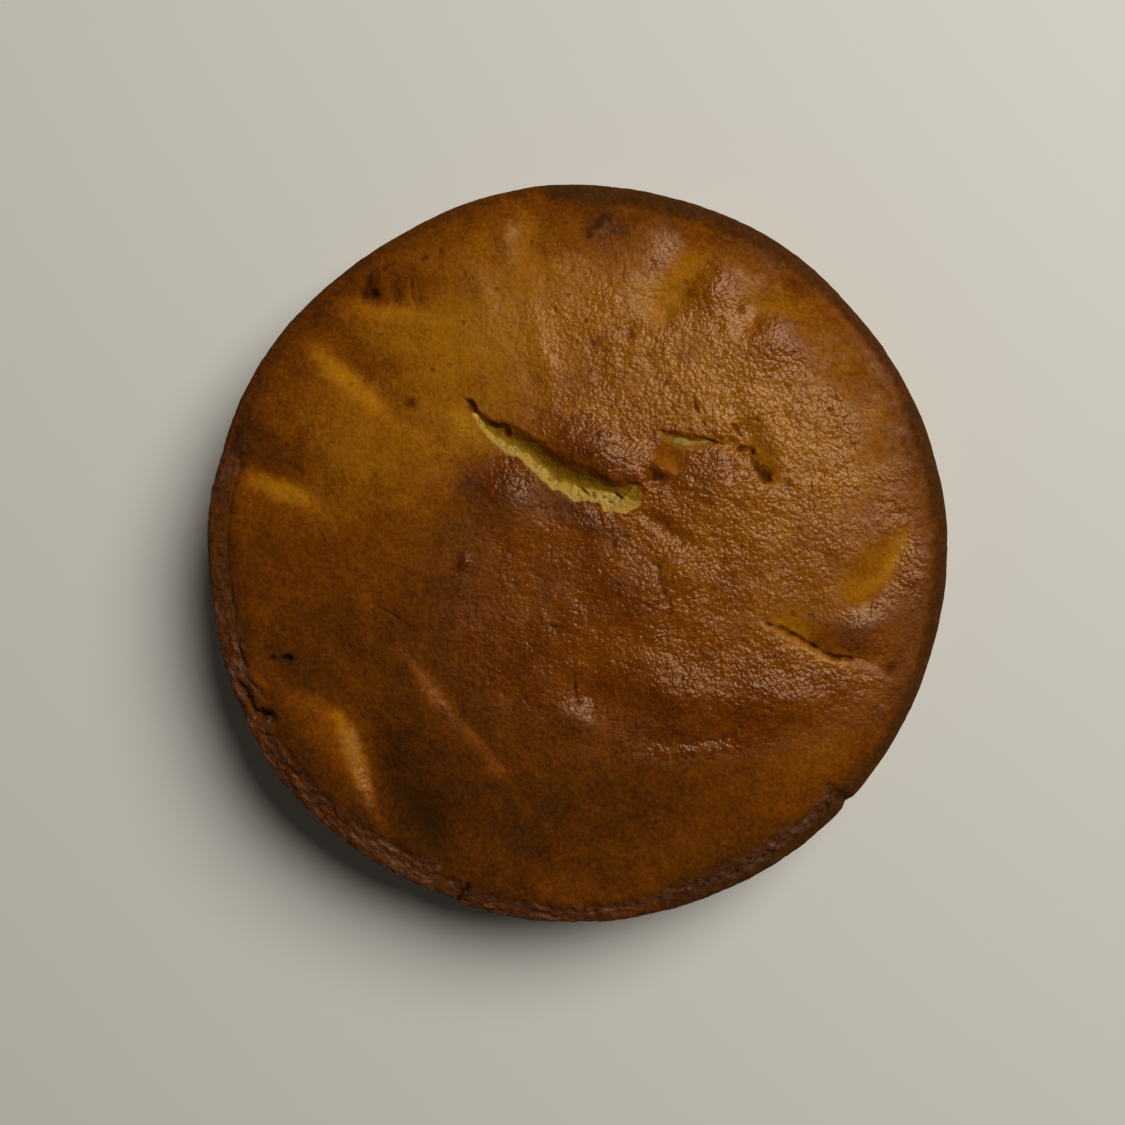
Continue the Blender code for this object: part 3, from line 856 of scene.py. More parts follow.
class Bake:
    """How the oven has coloured and wrinkled the crust, with painted light and shade on some slopes and on
    the side away from the light.
    """

    plain_brown: float = 0.64
    # The crust is darker away from the light's side, along the next two numbers: partly browning, partly
    # painted shade.
    brown_and_shade_away: float = 0.14
    light_side_turn: float = 48.0
    patch_bend: float = 3.2
    cloudy: tuple[Grain, Grain] = (Grain(24, 61, height=0.12), Grain(7, 63, 4, 0.65, 0.11))
    least_wrinkled: float = 0.12
    gloss_of_wrinkles: float = 1.25
    wrinkle_changes: Grain = Grain(12, 65, height=0.5)
    gloss_changes: Grain = Grain(11, 97, height=0.5)
    browning: tuple[Patch, ...] = (
        Patch("golden_north_west", (-48, 66), 56, 34, 40, -0.23),
        Patch("golden_west", (-78, 30), 40, 22, 10, -0.10),
        # These two are painted shade on the furrows' slopes that face away from the light.
        Patch("shaded_north_west_slope", (-72, 66.5), 22, 7, -43, 0.17),
        Patch("shaded_west_slope", (-106, 34.5), 20, 8, -25, 0.23),
        # These two are paler crust and painted light on the furrows' steep sides that face the light.
        Patch("pale_lit_north_west_edge", (-80, 60), 17, 4.2, -42, -0.27, True),
        Patch("pale_lit_west_furrow", (-104.5, 22.8), 13.5, 4.2, -20, -0.28, True),
        Patch("golden_burst_tip", (-38, 42.5), 9, 4.2, -50, -0.24),
        Patch("golden_north", (5, 82), 26, 13, 0, -0.06),
        Patch("brown_west_hollow", (-97, -43), 16, 8, -55, 0.19),
        # Painted shade on the slope behind the scarp, which faces away from the light.
        Patch("shaded_behind_the_scarp", (-65, -72), 8, 18, 10, 0.11),
        # The next two darken the crust: partly browning, partly painted shade on the side away from the
        # light.
        Patch("brown_centre_west", (-52, -25), 36, 17, -12, 0.09),
        Patch("brown_south_rim_side", (-5, -94), 60, 22, 0, 0.08),
        Patch("golden_north_east_furrow", (36, 95), 19, 5, 57, -0.10),
        Patch("golden_north_east_valley", (70, 85.5), 10, 4, -10, -0.08),
        Patch("brown_north_east_lump", (49, 91), 10, 8, 0, 0.13),
        Patch("brown_north_east_hump", (68, 73), 11, 9, 0, 0.10),
        Patch("brown_south_east", (70, -72), 40, 14, 35, 0.06),
        Patch("amber_east", (66, 44), 46, 40, 0, -0.12),
        Patch("golden_south_east", (84, -74), 26, 12, 45, -0.06),
        # The scarp's patches are golden crust and painted light on its side that faces the light.
        Patch("golden_lit_scarp", (-77.6, -73), 19, 3.4, -70, -0.23, True),
        Patch("pale_lit_scarp_end", (-74.8, -82), 6.5, 1.6, -74, -0.18, True),
        Patch("golden_lit_scarp_slope", (-81, -69), 19, 9, -62, -0.15),
        Patch("golden_shoulder", (-91, -54.5), 14, 5, -28, -0.15),
        # These two are paler crust and painted light on the ridges' sides that face the light.
        Patch("pale_lit_long_furrow", (-38, -62), 30, 1.8, -52, -0.13),
        Patch("pale_lit_fold_above_it", (-52.5, -47), 9, 1.4, -62, -0.14, True),
        Patch("pale_streak_in_the_west", (-73, -24), 20, 1.8, -84, -0.07),
        Patch("golden_east_valley", (102, -6), 13, 7.5, 46, -0.10),
        Patch("pale_crack_lip", (84, -36.5), 17, 2.6, -22, -0.16, True),
        Patch("pale_crack_start", (72, -26), 8, 4, -30, -0.10),
        Patch("brown_over_the_burst", (4, 37), 20, 7.5, -30, 0.20, True),
        Patch("brown_below_the_burst", (-25, 24), 19, 10, -20, 0.18, True),
        Patch("brown_middle", (-28, 6), 44, 22, -8, 0.08),
        Patch("brown_burst_end", (3, 11), 13, 5, -25, 0.15, True),
        Patch("brown_plate", (46.5, 28.8), 12, 6.6, -3, 0.16, True),
        Patch("brown_below_the_plate", (42, 19), 14, 5, -5, 0.08),
        Patch("amber_hollow", (31.5, 32.5), 4, 4.5, 0, 0.04),
        Patch("brown_window", (38, 39.4), 12, 3.2, -9, 0.14),
        Patch("brown_east_hump", (98, -25), 13, 8, 20, 0.06),
        Patch("brown_east_rim", (113, 2), 12, 36, 0, 0.07),
        Patch("brown_north_east_rim", (90, 66), 52, 20, 128, 0.09),
        Patch("pale_flake_by_the_notch", (-112, -43), 4.5, 1.6, -40, -0.22, True),
        Patch("pale_flake_in_the_notch", (-111, -50), 2.4, 1.3, -20, -0.24, True),
        Patch("brown_north", (8, 108), 28, 10, -8, 0.16),
        Patch("brown_pit", (-62, 93), 13, 6.5, 4, 0.19, True),
        Patch("brown_beside_the_pit", (-46, 96), 12, 9, -20, 0.10),
        # Golden crust and painted light on the pit's wall that faces the light.
        Patch("golden_lit_pit_wall", (-64, 83.8), 16, 2.6, -6, -0.12),
        # The next three darken the crust: partly browning, partly painted shade on the side away from the
        # light.
        Patch("brown_valley", (-55, -75), 30, 18, -60, 0.08),
        Patch("brown_south", (-5, -78), 60, 30, 0, 0.09),
        Patch("brown_south_west_shoulder", (-92, -72), 18, 8, -50, 0.10),
        Patch("golden_south_rim", (-30, -106), 22, 4, -20, -0.06),
        Patch("brown_dimple_by_the_rim", (-53, -93), 12, 7, -60, 0.20),
    )
    sheen: tuple[Patch, ...] = (
        Patch("over_the_burst", (8.5, 34.5), 16, 7.5, -28, 0.46),
        Patch("below_the_burst", (-24, 25.5), 8, 7, -30, 0.55),
        Patch("plate", (47, 28), 13, 8, 0, 0.62, True),
        Patch("south_of_the_crown", (20, -30), 15, 9, -20, 0.12),
        Patch("dull_golden_side", (-52, 50), 24, 11, -40, -0.2),
        Patch("north", (11, 114), 7, 5, 0, 0.36),
        Patch("north_beside_the_furrow", (29, 106), 8, 7, 0, 0.36),
        Patch("north_west_bump", (-25, 110), 5, 6, 0, 0.4),
        Patch("north_west_ripples", (-34, 90), 5, 16, 20, 0.28),
        Patch("ripples_over_the_burst", (-11, 66), 5, 14, 10, 0.28),
        Patch("scarp_sparkle", (-75, -80.5), 8, 1.8, -75, 0.42),
        Patch("dull_north_east_furrow", (35, 94), 19, 5, 57, -0.34),
        Patch("dull_north_east_valley", (70, 86), 10, 4, -10, -0.4),
        Patch("north_east_lump", (47, 90), 10, 8, 0, 0.5),
        Patch("north_east_hump", (66, 72), 11, 10, 0, 0.46),
        Patch("east_hump", (97, -21.5), 9, 3.6, 8, 0.66),
        Patch("east_valley_side", (111.5, -9), 13, 3.6, 58, 0.42),
        Patch("east_valley_line", (109, -5), 11, 1.6, 52, 0.4),
        Patch("east_edge", (116, -5), 4, 18, 5, 0.5),
        Patch("dull_east_valley", (102, -8), 14, 8, 45, -0.4),
        Patch("dull_hollow", (31.5, 32.5), 5, 6, 0, -0.8),
        Patch("dull_groove", (63.5, 32), 8, 3.6, -62, -0.9),
        Patch("south_east_band", (55, -43), 48, 11, -3, 0.34),
        Patch("sheen_swell", (34, -43), 9, 7, -40, 0.3),
        Patch("south_crease", (42, -66), 26, 5, 4, 0.36),
        Patch("centre", (-22, -26), 40, 44, 0, 0.19),
        Patch("dull_north_east_edge", (92, 66), 48, 16, 128, -0.2),
        Patch("dell", (3, -54), 8, 6, 0, 0.16),
        Patch("bead", (-39.1, -3.7), 2.5, 3.5, 0, 0.6),
        Patch("long_furrow", (-49, -50), 14, 1.8, -56, 0.26),
        Patch("long_furrow_end", (-31, -69), 12, 1.4, -50, 0.2),
        Patch("finger", (28, 28.6), 4.5, 2, -28, 0.9),
    )
    wrinkling: tuple[Patch, ...] = (
        Patch("crown", (50, 30), 66, 58, 0, 0.85),
        Patch("south_east", (50, -44), 58, 18, -3, 0.62),
        Patch("south_crease", (42, -66), 26, 6, 4, 0.34),
        Patch("centre", (-22, -26), 40, 44, 0, 0.13),
        Patch("north", (10, 85), 40, 20, 0, 0.3),
        Patch("golden_side", (-52, 50), 24, 11, -40, 0.2),
        Patch("smooth_below_the_burst", (-4, 16), 16, 6, -35, -0.2),
        Patch("below_the_burst", (-25, 25), 9, 7, -30, 0.04),
        Patch("smooth_hollow", (31.5, 32.5), 4.5, 5.5, 0, -1),
        Patch("smooth_groove", (64.5, 32), 6.5, 2.6, -62, -1),
        Patch("smooth_north_east_furrow", (36, 95), 17, 4.5, 57, -0.14),
        Patch("rough_scarp", (-76.5, -74), 15, 4, -72, 0.30),
        Patch("east_valley_side", (110, -10), 14, 5, 55, 0.3),
        Patch("smooth_crack_slope", (80, -28), 14, 5, -25, -0.6),
        Patch("smooth_valley", (106, -6), 12, 6, 52, -0.3),
    )

    def browned(self, spots: np.ndarray) -> np.ndarray:
        """Broad browning of the crust, with painted shade on the side away from the light and painted light
        and shade on some slopes.

        Args:
            spots: places on the crust.

        Returns:
            Brownings, 0 for pale yellow and 1 for dark brown.
        """
        push = np.column_stack([Noise.layered(spots, 9.0, seed, 3, 0.6) for seed in (57, 59)])
        moved = spots + self.patch_bend * push
        turn = math.radians(self.light_side_turn)
        across = (moved[:, 0] * math.cos(turn) + moved[:, 1] * math.sin(turn)) / TIN_RADIUS
        total = with_patches(self.plain_brown - self.brown_and_shade_away * across, self.browning, moved)
        for cloud in self.cloudy:
            total = total + cloud.over(spots)
        return total

    def wrinkled(self, spots: np.ndarray) -> np.ndarray:
        """How crinkled the skin is.

        Args:
            spots: places on the crust.

        Returns:
            Shares from 0 to 1.
        """
        total = with_patches(np.full(len(spots), self.least_wrinkled), self.wrinkling, spots)
        return np.clip(total * (1 + self.wrinkle_changes.over(spots)), 0.0, 1.0)

    def glossed(self, spots: np.ndarray) -> np.ndarray:
        """How glossy the skin is.

        Args:
            spots: places on the crust.

        Returns:
            Shares from 0 to 1.
        """
        total = self.gloss_of_wrinkles * (self.wrinkled(spots) - self.least_wrinkled)
        total = with_patches(total, self.sheen, spots)
        return np.clip(total * (1 + self.gloss_changes.over(spots)), 0.0, 1.0)


class MeshKit:
    """Turns lists of places into meshes and objects."""

    @staticmethod
    def wrapped_grid(stations: list[float]) -> tuple[np.ndarray, list[tuple[int, ...]]]:
        """A square grid wrapped into rings, laid out flat.

        Args:
            stations: how far each ring lies from the middle.

        Returns:
            Flat places and the faces between them.
        """
        rings = len(stations) - 1
        side = 2 * rings + 1
        steps = range(-rings, rings + 1)
        column, row = (axis.ravel() for axis in np.meshgrid(steps, steps, indexing="ij"))
        ring = np.maximum(np.abs(column), np.abs(row))
        across = np.abs(column) > np.abs(row)
        upright = np.where(across, 0, row)
        level = np.where(across, column, 1)
        upright = np.where(upright == 0, 1, upright)
        angle = np.where(
            across,
            math.pi / 4 * row / level + np.where(column < 0, math.pi, 0.0),
            math.pi / 2 - math.pi / 4 * column / upright + np.where(row < 0, math.pi, 0.0),
        )
        reach = np.array(stations)[ring]
        flat = np.column_stack((reach * np.cos(angle), reach * np.sin(angle)))
        index = np.arange(side * side).reshape(side, side)
        quads = np.stack((index[:-1, :-1], index[1:, :-1], index[1:, 1:], index[:-1, 1:]), axis=-1)
        return flat, quads.reshape(-1, 4).tolist()

    @staticmethod
    def tube_grid(loops: int, around: int) -> list[tuple[int, ...]]:
        """Faces between closed loops of places.

        Args:
            loops: number of loops.
            around: places in each loop.

        Returns:
            The faces.
        """
        index = np.arange(loops * around).reshape(loops, around)
        beside = np.roll(index, -1, axis=1)
        return np.stack((index[:-1], beside[:-1], beside[1:], index[1:]), axis=-1).reshape(-1, 4).tolist()

    @staticmethod
    def plain(name: str, places: np.ndarray, faces: list[tuple[int, ...]]) -> bpy.types.Mesh:
        """A mesh from places in millimetres.

        Args:
            name: name of the mesh.
            places: one row for each place.
            faces: the faces.

        Returns:
            The mesh.
        """
        mesh = bpy.data.meshes.new(name)
        if places.shape[1] == 2:
            places = np.column_stack((places, np.zeros(len(places))))
        mesh.from_pydata((places * MM).tolist(), [], faces)
        return mesh

    @staticmethod
    def places(mesh: bpy.types.Mesh) -> np.ndarray:
        """Places of a mesh.

        Args:
            mesh: the mesh.

        Returns:
            One row for each place, in millimetres.
        """
        flat = np.zeros(3 * len(mesh.vertices))
        mesh.vertices.foreach_get("co", flat)
        return flat.reshape(-1, 3) / MM

    @staticmethod
    def lay(mesh: bpy.types.Mesh, places: np.ndarray) -> None:
        """Puts a mesh's places, in millimetres, one row for each."""
        mesh.vertices.foreach_set("co", (places * MM).ravel())
        mesh.update()

    @staticmethod
    def mark(mesh: bpy.types.Mesh, name: str, values: np.ndarray) -> None:
        """Keeps one number for each place of a mesh under a name, for its material to read."""
        mesh.attributes.new(name, "FLOAT", "POINT").data.foreach_set("value", values.astype(np.float32))

    @staticmethod
    def shown(name: str, mesh: bpy.types.Mesh, material: bpy.types.Material) -> bpy.types.Object:
        """A smooth-shaded object in the scene.

        Args:
            name: name of the object.
            mesh: its mesh.
            material: its material.

        Returns:
            The object.
        """
        mesh.materials.append(material)
        mesh.shade_smooth()
        thing = bpy.data.objects.new(name, mesh)
        bpy.context.scene.collection.objects.link(thing)
        return thing


class Bench:
    """Lays out the nodes of one material."""

    def __init__(self, name: str) -> None:
        """Starts an empty material.

        Args:
            name: name of the material.
        """
        self.material = bpy.data.materials.new(name)
        self.material.use_nodes = True
        self.tree = self.material.node_tree
        self.tree.nodes.clear()
        self.shader = self.tree.nodes.new("ShaderNodeBsdfPrincipled")
        output = self.tree.nodes.new("ShaderNodeOutputMaterial")
        self.tree.links.new(self.shader.outputs["BSDF"], output.inputs["Surface"])
        self.place = self.tree.nodes.new("ShaderNodeTexCoord").outputs["Object"]

    def feed(self, socket: bpy.types.NodeSocket, value: Fed) -> None:
        """Links a socket to another node's result, or sets its number or colour.

        Args:
            socket: the socket to feed.
            value: a socket, a number or a colour.
        """
        if isinstance(value, bpy.types.NodeSocket):
            self.tree.links.new(value, socket)
        elif isinstance(value, tuple) and len(value) == 3 and socket.type == "RGBA":
            socket.default_value = (*value, 1.0)
        else:
            socket.default_value = value

    def marked(self, name: str) -> bpy.types.NodeSocket:
        """The numbers that the mesh keeps under a name.

        Args:
            name: name of the numbers.

        Returns:
            The numbers' socket.
        """
        node = self.tree.nodes.new("ShaderNodeAttribute")
        node.attribute_name = name
        return node.outputs["Fac"]

    def work(self, operation: str, first: Fed, second: Fed = 0.0, third: Fed = 0.0) -> bpy.types.NodeSocket:
        """One step of arithmetic.

        Args:
            operation: Blender's name of the step.
            first: a socket or number.
            second: a socket or number.
            third: a socket or number.

        Returns:
            The result's socket.
        """
        node = self.tree.nodes.new("ShaderNodeMath")
        node.operation = operation
        for socket, value in zip(node.inputs, (first, second, third)):
            self.feed(socket, value)
        return node.outputs["Value"]

    def times(self, first: Fed, second: Fed) -> bpy.types.NodeSocket:
        """The first times the second."""
        return self.work("MULTIPLY", first, second)

    def plus(self, base: Fed, value: Fed, share: Fed) -> bpy.types.NodeSocket:
        """The base, plus a share of a value."""
        return self.work("MULTIPLY_ADD", value, share, base)

    def evened(self, size: float, detail: float, twist: float = 0.0) -> bpy.types.NodeSocket:
        """Cloudy noise round zero, as lumps gives it round a half."""
        return self.work("SUBTRACT", self.lumps(size, detail, twist), 0.5)

    def coat(self, colour: Fed, rough: Fed, specular: float) -> None:
        """Gives the surface its colour, roughness and specular level.

        Args:
            colour: the colour or its socket.
            rough: the roughness or its socket.
            specular: the specular level, the same all over.
        """
        for name, value in (("Base Color", colour), ("Roughness", rough), ("Specular IOR Level", specular)):
            self.feed(self.shader.inputs[name], value)

    def lumps(
        self,
        size: float,
        detail: float = 2.0,
        twist: float = 0.0,
        place: Fed | None = None,
        kind: str = "FBM",
    ) -> bpy.types.NodeSocket:
        """Cloudy noise, from 0 to 1 in its plain kind.

        Args:
            size: length of a lump in millimetres.
            detail: layers of finer noise.
            twist: how far the lumps are bent.
            place: where to read the noise, or None for the object's own places.
            kind: Blender's name of the noise.

        Returns:
            The noise's socket.
        """
        node = self.tree.nodes.new("ShaderNodeTexNoise")
        node.noise_type = kind
        self.feed(node.inputs["Vector"], place or self.place)
        self.feed(node.inputs["Scale"], 1 / (size * MM))
        self.feed(node.inputs["Detail"], detail)
        self.feed(node.inputs["Distortion"], twist)
        return node.outputs["Fac"]

    def cells(self, size: float, place: Fed | None = None) -> bpy.types.NodeSocket:
        """Distances to the nearest middle in a pattern of cells.

        Args:
            size: width of a cell in millimetres.
            place: where to read the pattern, or None for the object's own places.

        Returns:
            The distance's socket.
        """
        node = self.tree.nodes.new("ShaderNodeTexVoronoi")
        node.feature = "F1"
        self.feed(node.inputs["Vector"], place or self.place)
        self.feed(node.inputs["Scale"], 1 / (size * MM))
        return node.outputs["Distance"]

    def bent_place(self, size: float, by: float) -> bpy.types.NodeSocket:
        """The object's places, pushed about by noise.

        Args:
            size: length of the bends in millimetres.
            by: how far they push, in millimetres.

        Returns:
            The places' socket.
        """
        noise = self.tree.nodes.new("ShaderNodeTexNoise")
        self.feed(noise.inputs["Vector"], self.place)
        self.feed(noise.inputs["Scale"], 1 / (size * MM))
        push = self.tree.nodes.new("ShaderNodeVectorMath")
        push.operation = "MULTIPLY_ADD"
        self.feed(push.inputs[0], noise.outputs["Color"])
        push.inputs[1].default_value = (by * MM,) * 3
        self.feed(push.inputs[2], self.place)
        return push.outputs["Vector"]

    def rescale(
        self, value: Fed, low: float, high: float, to_low: float = 0.0, to_high: float = 1.0
    ) -> bpy.types.NodeSocket:
        """Moves a number from one range to another, smoothly and within its ends.

        Args:
            value: the number's socket.
            low: start of its range.
            high: end of its range.
            to_low: start of the new range.
            to_high: end of the new range.

        Returns:
            The result's socket.
        """
        node = self.tree.nodes.new("ShaderNodeMapRange")
        node.interpolation_type = "SMOOTHSTEP"
        for socket, number in zip(node.inputs, (value, low, high, to_low, to_high)):
            self.feed(socket, number)
        return node.outputs["Result"]

    def ramp(self, value: Fed, stops: tuple[tuple[float, Triple], ...]) -> bpy.types.NodeSocket:
        """A colour picked along a row of colours.

        Args:
            value: where to pick.
            stops: places from 0 to 1 with their colours.

        Returns:
            The colour's socket.
        """
        node = self.tree.nodes.new("ShaderNodeValToRGB")
        self.feed(node.inputs["Fac"], value)
        elements = node.color_ramp.elements
        while len(elements) < len(stops):
            elements.new(0.5)
        for element, (position, _) in zip(elements, stops):
            element.position = position
        for element, (_, colour) in zip(elements, stops):
            element.color = (*colour, 1.0)
        return node.outputs["Color"]

    def mix(self, share: Fed, first: Fed, second: Fed, kind: str = "MIX") -> bpy.types.NodeSocket:
        """Mixes two colours.

        Args:
            share: how much of the second.
            first: a colour or its socket.
            second: a colour or its socket.
            kind: Blender's name of the mixing.

        Returns:
            The colour's socket.
        """
        node = self.tree.nodes.new("ShaderNodeMix")
        node.data_type = "RGBA"
        node.blend_type = kind
        self.feed(node.inputs["Factor"], share)
        self.feed(node.inputs[6], first)
        self.feed(node.inputs[7], second)
        return node.outputs[2]

    def raise_by(self, height: Fed) -> None:
        """Gives the surface a fine relief.

        Args:
            height: heights in millimetres.
        """
        node = self.tree.nodes.new("ShaderNodeBump")
        self.feed(node.inputs["Distance"], MM)
        self.feed(node.inputs["Height"], height)
        self.tree.links.new(node.outputs["Normal"], self.shader.inputs["Normal"])


def srgb(*parts: int) -> Triple:
    """A colour in the renderer's numbers from red, green and blue of 0 to 255."""
    return tuple(c / 12.92 / 255 if c < 11 else ((c / 255 + 0.055) / 1.055) ** 2.4 for c in parts)


@dataclass(frozen=True)
class CrustFinish:
    """Baked crust: golden in the furrows, dark brown on the humps, finely crinkled and softly glossy."""

    name: str = "browned_crust"
    stops: tuple[tuple[float, Triple], ...] = (
        (0.0, (0.40, 0.20, 0.022)),
        (0.25, (0.31, 0.112, 0.003)),
        (0.45, (0.24, 0.075, 0.002)),
        (0.62, (0.164, 0.0385, 0.0008)),
        (0.78, (0.104, 0.0215, 0.0006)),
        (0.90, (0.061, 0.0125, 0.0012)),
        (1.0, (0.034, 0.0085, 0.0015)),
    )
    pale_crumb: Triple = (0.35, 0.205, 0.034)
    # Torn crumb down in the tear is painted in this shade colour: painted shade.
    shaded_crumb: Triple = (0.19, 0.090, 0.003)
    crumb_patches: float = 2.6
    golden: Triple = (1.0, 1.12, 1.0)
    golden_share: tuple[float, float] = (0.38, 0.68)
    cloud_size: float = 6.0
    cloud_tone: float = 0.17
    freckle_size: float = 1.5
    freckle_tone: float = 0.42
    peel_size: float = 2.7
    peel_height: float = 0.66
    peel_least: float = 0.64
    peel_growth: float = 0.30
    crinkle_size: float = 1.7
    crinkle_height: float = 0.18
    crinkle_least: float = 0.35
    crinkle_growth: float = 0.85
    pebble_size: float = 1.5
    pebble_height: float = 0.24
    pebble_least: float = 0.5
    pebble_growth: float = 0.75
    flake_size: float = 1.7
    flake_height: float = 0.24
    flake_and_sheen_colour: Triple = (0.080, 0.031, 0.015)
    flake_patches: float = 2.4
    flake_share: tuple[float, float, float, float] = (0.42, 0.60, 0.0, 0.85)
    speck_spacing: float = 9.0
    speck_edge: tuple[float, float] = (0.14, 0.06)
    speck_depth: float = 0.2
    speck_tone: float = 0.5
    gloss_patches: float = 3.6
    gloss_change: float = 0.5
    dull: float = 0.95
    glossy: float = 0.20
    specular: float = 0.29
    tint: Triple = (1.0, 0.69, 0.42)
    dull_tint: Triple = (1.0, 0.66, 0.12)
    tint_from: tuple[float, float] = (0.05, 0.5)

    def make(self) -> bpy.types.Material:
        """Builds the material.

        Returns:
            The material.
        """
        bench = Bench(self.name)
        wrinkle, flake = bench.marked("wrinkle"), bench.marked("flake")
        specks = bench.rescale(bench.cells(self.speck_spacing, bench.bent_place(1.2, 1.4)), *self.speck_edge)
        bench.raise_by(bench.plus(self.height(bench, wrinkle, flake), specks, -self.speck_depth))
        gloss = bench.plus(bench.marked("gloss"), bench.evened(self.gloss_patches, 2.0), self.gloss_change)
        dullness = bench.work("POWER", bench.rescale(gloss, 0.0, 1.0, 1.0, 0.0), 2.0)
        rough = bench.plus(self.glossy, dullness, self.dull - self.glossy)
        bench.coat(self.colour(bench, specks, flake), rough, self.specular)
        shine = bench.rescale(gloss, *self.tint_from)
        bench.feed(bench.shader.inputs["Specular Tint"], bench.mix(shine, self.dull_tint, self.tint))
        return bench.material

    def height(self, bench: Bench, wrinkle: Fed, flake: Fed) -> bpy.types.NodeSocket:
        """The finest relief: crinkles, pebbles, orange peel and the edges of flakes.

        Args:
            bench: the material's bench.
            wrinkle: how crinkled the skin is.
            flake: how flaky the rim is.

        Returns:
            The heights' socket, in millimetres.
        """
        bent = bench.bent_place(2.6, 1.6)
        crinkle = bench.lumps(self.crinkle_size, 3.0, 0.5, bent, "RIDGED_MULTIFRACTAL")
        crinkled = bench.plus(self.crinkle_least, wrinkle, self.crinkle_growth)
        height = bench.times(bench.times(crinkle, crinkled), self.crinkle_height)
        pebbles = bench.work("POWER", bench.cells(self.pebble_size, bent), 2.0)
        growth, least = self.pebble_growth * self.pebble_height, self.pebble_least * self.pebble_height
        height = bench.plus(height, pebbles, bench.plus(-least, wrinkle, -growth))
        growth, least = self.peel_growth * self.peel_height, self.peel_least * self.peel_height
        height = bench.plus(height, bench.lumps(self.peel_size, 5.0), bench.plus(least, wrinkle, growth))
        scales = bench.cells(self.flake_size, bench.bent_place(1.4, 1.2))
        return bench.plus(height, bench.times(scales, flake), self.flake_height)

    def colour(self, bench: Bench, specks: Fed, flake: Fed) -> bpy.types.NodeSocket:
        """The baked colour with its clouds, freckles, specks, flakes and torn crumb, with painted shade in
        the specks' pits and in the tear's depth and a painted sheen on the flakes.

        Args:
            bench: the material's bench.
            specks: where the dark specks are.
            flake: how flaky the rim is.

        Returns:
            The colour's socket.
        """
        tone = bench.plus(bench.marked("browning"), bench.evened(self.cloud_size, 4.0), self.cloud_tone)
        tone = bench.plus(tone, bench.evened(self.freckle_size, 3.0, 0.3), self.freckle_tone)
        gilded = bench.rescale(bench.lumps(1.3, 3.0, 0.2), *self.golden_share)
        colour = bench.mix(gilded, bench.ramp(tone, self.stops), self.golden, "MULTIPLY")
        # Dark specks sit in small pits: their darkness is partly their own colour and partly painted shade in
        # the pits.
        colour = bench.mix(bench.times(specks, self.speck_tone), colour, self.stops[-2][1])
        scaly = bench.rescale(bench.lumps(self.flake_patches, 4.0), *self.flake_share)
        # The rim's flakes take a pinkish brown: partly their own colour, partly a painted sheen.
        colour = bench.mix(bench.times(flake, scaly), colour, self.flake_and_sheen_colour)
        # The crumb's depth in the tear is painted in its shade colour.
        patchy = bench.plus(bench.marked("in_shade"), bench.evened(self.crumb_patches, 3.0), 1.0)
        torn = bench.mix(bench.rescale(patchy, 0.0, 1.0), self.pale_crumb, self.shaded_crumb)
        return bench.mix(bench.marked("crumb"), colour, torn)


@dataclass(frozen=True)
class CrumbFinish:
    """Torn yellow crumb: matt, with fine pores painted darker as painted shade."""

    name: str = "torn_crumb"
    pale: Triple = srgb(176, 148, 70)
    in_shade: Triple = srgb(134, 96, 22)
    pore_depth: float = 0.16
    grain_height: float = 0.22
    roughness: float = 0.8
    specular: float = 0.25

    def make(self) -> bpy.types.Material:
        """Builds the material.

        Returns:
            The material.
        """
        bench = Bench(self.name)
        pores = bench.rescale(bench.cells(1.1, bench.bent_place(0.9, 0.5)), 0.02, 0.3, 0.45)
        deep_pores = bench.times(pores, self.pore_depth)
        bench.raise_by(bench.plus(deep_pores, bench.lumps(0.45, 3.0), self.grain_height))
        # shade is the share of the pale colour; where it is low, in the pores and in random patches, the
        # crumb takes its colour in painted shade.
        shade = bench.times(bench.rescale(bench.lumps(2.2, 3.0), 0.3, 0.7), pores)
        bench.coat(bench.mix(shade, self.in_shade, self.pale), self.roughness, self.specular)
        return bench.material


@dataclass(frozen=True)
class AppleFinish:
    """Cooked apple flesh: pale green-yellow, moist, with faint fibres along the wedge, darkening as painted
    shade where it runs under the crust.
    """

    name: str = "cooked_apple"
    pale: Triple = srgb(146, 120, 54)
    in_shade: Triple = srgb(106, 72, 12)
    fibre_stretch: Triple = (0.25, 1.0, 1.0)
    fibre_height: float = 0.12
    lump_height: float = 0.25
    shaded_edge: tuple[float, float] = (0.44, 0.06)
    roughness: float = 0.6
    specular: float = 0.08

    def make(self) -> bpy.types.Material:
        """Builds the material.

        Returns:
            The material.
        """
        bench = Bench(self.name)
        stretch = bench.tree.nodes.new("ShaderNodeMapping")
        bench.feed(stretch.inputs["Vector"], bench.place)
        stretch.inputs["Scale"].default_value = self.fibre_stretch
        fibres = bench.lumps(0.6, 3.0, 0.2, stretch.outputs["Vector"])
        raised = bench.times(fibres, self.fibre_height)
        bench.raise_by(bench.plus(raised, bench.lumps(1.4, 2.0), self.lump_height))
        share = bench.plus(bench.rescale(bench.lumps(3.2, 2.0), 0.3, 0.7, 0.0, 0.7), fibres, 0.5)
        # The flesh darkens towards where it sinks under the crust's lip: painted shade; its colour there is
        # also mixed in at random by the lumps and fibres.
        share = bench.times(share, bench.rescale(bench.marked("reach"), *self.shaded_edge))
        bench.coat(bench.mix(share, self.in_shade, self.pale), self.roughness, self.specular)
        return bench.material


